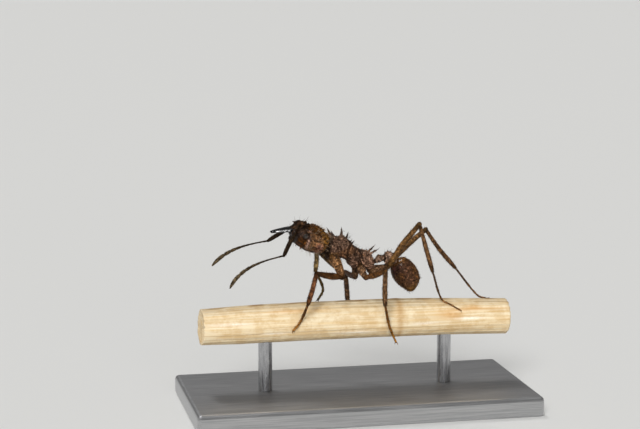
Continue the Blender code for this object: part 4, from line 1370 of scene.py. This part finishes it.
legShape = {
    # radii along each segment, as (fraction, radius)
    "coxa": {"fore": [(0, 0.19), (0.2, 0.22), (0.55, 0.225), (0.85, 0.19), (1, 0.14)],
             "mid": [(0, 0.19), (0.25, 0.205), (0.6, 0.18), (1, 0.12)],
             "hind": [(0, 0.18), (0.25, 0.19), (0.6, 0.16), (0.85, 0.15), (1, 0.13)]},
    "femur": {"fore": [(0, 0.12), (0.12, 0.16), (0.35, 0.176), (0.7, 0.142), (0.92, 0.11), (1, 0.11)],
              "mid": [(0, 0.11), (0.12, 0.13), (0.35, 0.14), (0.7, 0.125), (0.92, 0.105), (1, 0.11)],
              "hind": [(0, 0.14), (0.08, 0.15), (0.22, 0.145), (0.45, 0.162), (0.7, 0.138), (0.9, 0.122),
                       (1, 0.122)]},
    "tibia": {"fore": [(0, 0.1), (0.06, 0.115), (0.2, 0.11), (0.7, 0.118), (0.92, 0.11), (1, 0.09)],
              "mid": [(0, 0.1), (0.07, 0.115), (0.2, 0.115), (0.7, 0.125), (0.92, 0.12), (1, 0.1)],
              "hind": [(0, 0.085), (0.06, 0.095), (0.2, 0.095), (0.5, 0.11), (0.8, 0.115), (0.93, 0.105),
                       (1, 0.08)]},
    "tarsusSplits": [0, 0.47, 0.64, 0.76, 0.85, 0.97],
    "tarsusRadii": [0.074, 0.068, 0.066, 0.064, 0.056],
    "tarsusShare": {"fore": 1.0, "mid": 0.98, "hind": 0.76},
    "claw": {"length": 0.17, "radius": 0.022, "spread": 0.6},
    "spur": {"length": 0.2, "radius": 0.022},
    "colours": {"coxa": {"fore": (rgb(134, 96, 61), rgb(60, 36, 13)),
                         "mid": (rgb(108, 80, 56), rgb(56, 36, 16)),
                         "hind": (rgb(112, 82, 58), rgb(60, 40, 20))},
                "femur": {"fore": (rgb(74, 46, 20), rgb(38, 22, 8)),
                          "mid": (rgb(104, 66, 32), rgb(60, 38, 16)),
                          "hind": (rgb(102, 72, 40), rgb(60, 42, 20))},
                "tibia": {"fore": (rgb(104, 64, 40), rgb(54, 32, 14)),
                          "mid": (rgb(110, 80, 54), rgb(62, 42, 22)),
                          "hind": (rgb(104, 74, 48), rgb(60, 40, 20))},
                "tarsus": {"fore": (rgb(66, 42, 20), rgb(126, 84, 36)),
                           "mid": (rgb(96, 60, 22), rgb(146, 98, 38)),
                           "hind": (rgb(66, 48, 34), rgb(112, 78, 44))}},
    # the far legs have tints of their own where they differ from the near ones, partly their own olive hue
    # and partly painted light and shade
    "farTints": {("fore", "femur"): (rgb(104, 82, 50), rgb(64, 46, 24)),
                 ("fore", "tibia"): (rgb(140, 116, 74), rgb(84, 64, 36)),
                 ("fore", "tarsus"): (rgb(58, 46, 24), rgb(54, 44, 22)),
                 ("mid", "tarsus"): (rgb(45, 35, 18), rgb(54, 44, 23))},
    "farShade": {"fore": 1.0, "mid": 0.6, "hind": 0.9},
    # each segment's skin, slot, kind of hair and number of hairs
    "skins": {"coxa": ("trunkCuticle", "leg_brown", "leg", 60),
              "femur": ("legCuticle", "leg_brown", "leg", 170),
              "tibia": ("legCuticle", "leg_brown", "leg", 210),
              "tarsus": ("tarsusCuticle", "tarsus_amber", "foot", 150)},
}


def segmentColour(start, end, first, second, shade):
    # a tarsus goes from its first colour to its second, the other segments are darker at both ends
    start, line = rowOf(start), rowOf(end - start)

    def shareOf(places):
        return (places - start) @ line / (line @ line)

    def alongFoot(places, normals):
        colour = laidOver(first, second, ramp(shareOf(places), 0.3, 0.95))
        return colour * shade * (0.7 + 0.6 * mottle(places, 3.2, 31))[:, None]

    def alongLimb(places, normals):
        share = shareOf(places)
        middle = ramp(share, 0.0, 0.25) * ramp(1 - share, 0.0, 0.2)
        colour = laidOver(second, first, middle * (0.55 + 0.45 * mottle(places, 1.5, 33)))
        return colour * shade * (0.75 + 0.5 * mottle(places, 3.2, 35))[:, None]
    return alongLimb, alongFoot


def bentSegment(bm, start, end, rows, bow, ribs=18):
    path = evenPath(smoothPath([start, (start + end) / 2 + bow, end], 14), 30)
    sweep(bm, path, easedValues(rows, 30, 3), ribs=ribs)


def buildTarsus(bm, route, scale):
    # five joints, widest at their far ends, then a pair of claws and a pad
    path = evenPath(route, 81)
    splits, radii = legShape["tarsusSplits"], legShape["tarsusRadii"]
    for k in range(5):
        low, high = int(splits[k] * 80), int(splits[k + 1] * 80)
        part = path[low:high + 1]
        shares = [j / max(1, len(part) - 1) for j in range(len(part))]
        sweep(bm, part, [radii[k] * scale * (0.84 + 0.2 * share ** 2) for share in shares], ribs=12)
    end = path[-4]
    forward = (path[-1] - path[-5]).normalized()
    sideways = forward.cross(Vector((0, 0, 1))).normalized()
    down = sideways.cross(forward)
    down = -down if down.z > 0 else down
    claw = legShape["claw"]
    for side in sides.values():
        bend = forward * 0.5 + sideways * side * 0.35
        point = forward * 0.95 + sideways * side * claw["spread"] + down * 0.3
        curve = smoothPath([end, end + bend * claw["length"], end + point * claw["length"]], 6)
        sweep(bm, curve, [claw["radius"] * (1.15 - 0.95 * k / 12) for k in range(13)], ribs=8)
    ball(bm, end + forward * 0.05, (0.04, 0.04, 0.035), None, 10)


def offBark(path, clearance):
    # lifts the points of a foot that would lie inside the stem
    lifted = []
    for point in path:
        centre = perchCentre(point.x)
        out = point - centre
        reach = stemRadius(point.x, math.atan2(out.y, out.z)) + clearance
        lifted.append(centre + out.normalized() * reach if out.length < reach else point)
    return lifted


def buildLeg(pair, name, index):
    side = sides[name]
    turns = [heading(*angles) for angles in stance[pair, name][:3]]
    heel, foot = [besidePerch(*place) for place in stance[pair, name][3:]]
    joints = [mirrored(ant["hips"][pair], side)]
    for turn, length in zip(turns, ant["segments"][pair]):
        joints.append(joints[-1] + turn * length)
    joints = [joint + Vector((x, 0, z)) for joint, (x, z) in zip(joints, nudges[pair, name])]
    hip, coxaEnd, knee, ankle = joints
    coxaWay, femurWay, tibiaWay = [(end - start).normalized() for start, end in zip(joints, joints[1:])]
    femurBow, tibiaBow = [Vector((x, 0, z)) for x, z in bows[pair, name]]
    shade = legShape["farShade"][pair] if name == "Right" else 1.0
    strands = []

    def finishSegment(bm, part, start, end):
        strip = list(legShape["skins"]).index(part)
        finish, slotName, kind, hairs = legShape["skins"][part]
        mesh = meshOf(bm)
        roughen(mesh, [(0.006, 7.0), (0.0035, 22.0)], 130 + index * 4 + strip)
        tints = legShape["colours"][part][pair]
        # a far leg takes its own tints, partly painted light and shade
        if name == "Right":
            tints = legShape["farTints"].get((pair, part), tints)
        alongLimb, alongFoot = segmentColour(start, end, *tints, shade)
        paint(mesh, alongFoot if part == "tarsus" else alongLimb, 0.7)
        seeds = (160 + index * 4 + strip, 190 + index * 4 + strip)
        unwrap = aroundLine(start, end, strip, 4)
        strands.append(grownHairs(mesh, hairs, seeds, (end - start).normalized(), kind, unwrap))
        node = f"leg_{pair}_{name.lower()}_{part}"
        addPiece(f"{pair}{name}{part.capitalize()}", mesh, cuticles[finish], node)

    bm = bmesh.new()
    bentSegment(bm, hip, coxaEnd, legShape["coxa"][pair], Vector((0, 0.02 * side, 0)), 24)
    if pair == "hind":
        ball(bm, hip + Vector((0.03, 0.05 * side, -0.01)), (0.22, 0.2, 0.21))
    finishSegment(bm, "coxa", hip, coxaEnd)

    bm = bmesh.new()
    bentSegment(bm, coxaEnd + femurWay * 0.16, knee, legShape["femur"][pair], femurBow)
    trochanter = [coxaEnd - coxaWay * 0.06, coxaEnd + femurWay * 0.06, coxaEnd + femurWay * 0.22]
    sweep(bm, smoothPath(trochanter, 4), easedValues([(0, 0.11), (0.5, 0.14), (1, 0.11)], 9), ribs=16)
    finishSegment(bm, "femur", coxaEnd, knee)

    bm = bmesh.new()
    route = offBark(smoothPath([ankle, heel, foot], 8), 0.055)
    bentSegment(bm, knee, ankle, legShape["tibia"][pair], tibiaBow)
    spur = legShape["spur"]
    toward = (route[1] - route[0]).normalized()
    inward = toward - tibiaWay * toward.dot(tibiaWay)
    inward = inward.normalized() if inward.length > 0.05 else tibiaWay.orthogonal()
    curve = [ankle - tibiaWay * 0.05 + inward * 0.06, ankle + tibiaWay * spur["length"] * 0.4 + inward * 0.13,
             ankle + tibiaWay * spur["length"] + inward * 0.11]
    sweep(bm, smoothPath(curve, 5), [spur["radius"] * (1 - 0.085 * k) for k in range(11)], ribs=8)
    finishSegment(bm, "tibia", knee, ankle)

    bm = bmesh.new()
    buildTarsus(bm, route, legShape["tarsusShare"][pair])
    finishSegment(bm, "tarsus", ankle, foot)
    addCoat(f"{pair}{name}Hairs", strands, "brownHair")


for legIndex, (pair, name) in enumerate(stance):
    buildLeg(pair, name, legIndex)
print("legs built")


# Perch's skin


def stemColour(places, normals):
    look = stemLook["colours"]
    along = places[:, 0]
    turn = np.arctan2(places[:, 1], places[:, 2] - perch["height"])
    wave = np.sin(turn * 9 + 1.2 * np.sin(along * 0.4)) * 0.5 + 0.5
    ring = stemLook["ring"]

    def spot(place, spotTurn, length, width):
        return np.exp(-((along - place) / length) ** 2 - ((turn - spotTurn) / width) ** 2)
    colour = layered(look["light"], look, [
        ("dark", wave * 0.35),
        *[("blotch", spot(*row) * 0.6) for row in stemLook["blotches"]],
        # white spots painted as highlights
        *[("paintedGlint", spot(*row)) for row in stemLook["glintSpots"]],
        ("ring", np.exp(-((along - ring["at"]) / ring["width"]) ** 2) * 0.6),
    ])
    # the top is a little darker, the underside is paler as painted bounce light from the floor, and brown
    # lines of dirt and painted shade run along the top and bottom edges
    paleBounceDarkTop = 1 - 0.16 * ramp(normals[:, 2], 0.5, 0.97) + 0.1 * ramp(-normals[:, 2], 0.2, 0.7)
    colour = colour * paleBounceDarkTop[:, None]
    lines = np.maximum(ramp(normals[:, 2], 0.93, 0.99), ramp(-normals[:, 2], 0.9, 0.97))
    return laidOver(colour, look["edge"], lines * ramp(mottle(places * (0.5, 1, 1), 2.2, 41), 0.3, 0.7) * 0.8)


def placeStreaks(tree, look):
    return placeGroup(tree, streakPattern, {
        "Stretch": look["stretch"], "Dark": opaque(look["dark"]), "Light": opaque(look["light"]),
        "Low Roughness": look["roughness"][0], "High Roughness": look["roughness"][1]})


def buildStemMaterial():
    made, tree, shader = newMaterial("dryStraw")
    white = (1, 1, 1, 1)
    tint = storedColour(tree, "tint")
    streaks = placeStreaks(tree, stemLook["streaks"])
    speckle = placeGroup(tree, cuticlePattern, {
        "Tint": white, "Shadow": opaque(stemLook["speckle"]), "Bloom": white, "Patches": 1.6, "Grain": 9.0,
        "Patch Strength": 0.6, "Bloom Strength": 0.0})
    streaked = mixedColour(tree, 1.0, tint, streaks.outputs["Color"], "MULTIPLY")
    speckled = mixedColour(tree, 1.0, streaked, speckle.outputs["Color"], "MULTIPLY")
    dressShader(tree, shader, streaks, stemLook["bump"], {"Base Color": speckled})
    return made


def buildStem():
    steps, ribs = stemLook["steps"], stemLook["ribs"]
    turns = [math.tau * j / ribs for j in range(ribs)]
    bm = bmesh.new()
    rings = []
    for i in range(steps + 1):
        along = perch["halfLength"] * (2 * i / steps - 1)
        centre = perchCentre(along)
        ring = []
        for turn in turns:
            radius = stemRadius(along, turn)
            fray = 0
            if i in (0, steps):
                # the cut is not quite square and a few fibres stand out
                fray = 0.05 * math.cos(turn + 1) + 0.035 * noise.noise(Vector((turn * 6, 0, along)))
            offset = Vector((fray, radius * math.sin(turn), radius * math.cos(turn)))
            ring.append(bm.verts.new(centre + offset))
        rings.append(ring)
    joinRings(bm, rings)
    for outer, along, inward in ((rings[0], -perch["halfLength"], 1), (rings[-1], perch["halfLength"], -1)):
        centre = perchCentre(along)
        cut = [outer]
        for share, depth in stemLook["cutRings"]:
            ring = []
            for turn, rim in zip(turns, outer):
                rough = 0.03 * noise.noise(Vector((share * 5, math.cos(turn) * 4, math.sin(turn) * 4)))
                place = centre.lerp(rim.co, share)
                place.x = rim.co.x * (1 - depth) + along * depth + inward * (depth + rough)
                ring.append(bm.verts.new(place))
            cut.append(ring)
        joinRings(bm, cut)
        bm.faces.new(cut[-1])
    mesh = meshOf(bm)
    paint(mesh, stemColour)
    addPiece("perchStem", mesh, buildStemMaterial(), "perch_stem")


buildStem()
print("perch built")


# Stand: the solids keep their shape and get metal finishes


def buildMetal(name, look):
    made, tree, shader = newMaterial(name)
    dressShader(tree, shader, placeStreaks(tree, look), look["bump"], {"Metallic": 1.0})
    return made


metalLooks = {
    "brushedPlate": {"stretch": (0.35, 22.0, 22.0), "dark": rgb(178, 179, 181), "light": rgb(214, 214, 215),
                     "roughness": (0.34, 0.5), "bump": 0.006},
    "pinSteel": {"stretch": (16.0, 16.0, 1.2), "dark": rgb(160, 160, 163), "light": rgb(206, 206, 208),
                 "roughness": (0.2, 0.34), "bump": 0.003},
}
standFinish = {"stand_base": "brushedPlate", "stand_rod_left": "pinSteel", "stand_rod_right": "pinSteel"}
metals = {name: buildMetal(name, look) for name, look in metalLooks.items()}
for node, finish in standFinish.items():
    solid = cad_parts[node]
    solid.data.materials.clear()
    solid.data.materials.append(metals[finish])
print("stand finished")


# Studio

studio = {
    "floorSize": 3000.0, "floorTone": rgb(207, 207, 205), "glow": 0.16, "sky": rgb(242, 241, 240),
    "skyStrength": 0.2,
    # where each sun stands, as turn and climb round the part, then its strength and softness
    "suns": {"key": (-24, 30, 1.85, 18), "front": (0, 8, 1.25, 40), "top": (-154, 62, 0.5, 8),
             "overhead": (-160, 72, 0.35, 8), "side": (-25, 49, 0.6, 12)},
    # the two broad lights only fill, and the glossy parts mirror the three small ones
    "unmirrored": ("key", "front"),
}


def backVector(turn, climb):
    turn, climb = math.radians(turn), math.radians(climb)
    return Vector((math.sin(turn) * math.cos(climb), -math.cos(turn) * math.cos(climb), math.sin(climb)))


def buildStudio():
    world = bpy.data.worlds.new("studio")
    world.use_nodes = True
    setInputs(world.node_tree, world.node_tree.nodes["Background"], {
        "Color": opaque(studio["sky"]), "Strength": studio["skyStrength"]})
    scene.world = world
    scene.view_settings.view_transform = "Standard"
    bm = bmesh.new()
    bmesh.ops.create_grid(bm, x_segments=8, y_segments=8, size=studio["floorSize"] / 2)
    mesh = meshOf(bm)
    mesh.transform(Matrix.Scale(mm, 4))
    floor = placeObject("floor", mesh)
    made, tree, shader = newMaterial("paleFloor")
    tone = opaque(studio["floorTone"])
    setInputs(tree, shader, {"Base Color": tone, "Emission Color": tone, "Emission Strength": studio["glow"],
                             "Roughness": 0.9})
    floor.data.materials.append(made)
    for name, (turn, climb, strength, softness) in studio["suns"].items():
        light = bpy.data.lights.new(name, "SUN")
        light.energy = strength
        light.angle = math.radians(softness)
        lamp = placeObject(name, light)
        lamp.rotation_euler = (-backVector(turn, climb)).to_track_quat("-Z", "Y").to_euler()
        lamp.visible_glossy = name not in studio["unmirrored"]


# aim is where the lens points, span the width seen there, all in millimetres
cameraSetup = {"aim": (-1.59, 1.07, 9.6), "turn": -12.0, "climb": 9.0, "distance": 90.0, "span": 32.0}


def buildCamera():
    lens = bpy.data.cameras.new("camera")
    lens.sensor_width = 36
    lens.lens = 36 * cameraSetup["distance"] / cameraSetup["span"]
    lens.clip_start, lens.clip_end = mm, 10
    camera = placeObject("camera", lens)
    back = backVector(cameraSetup["turn"], cameraSetup["climb"])
    camera.location = (Vector(cameraSetup["aim"]) + back * cameraSetup["distance"]) * mm
    camera.rotation_euler = (-back).to_track_quat("-Z", "Y").to_euler()
    scene.camera = camera


buildStudio()
buildCamera()
print("studio ready")
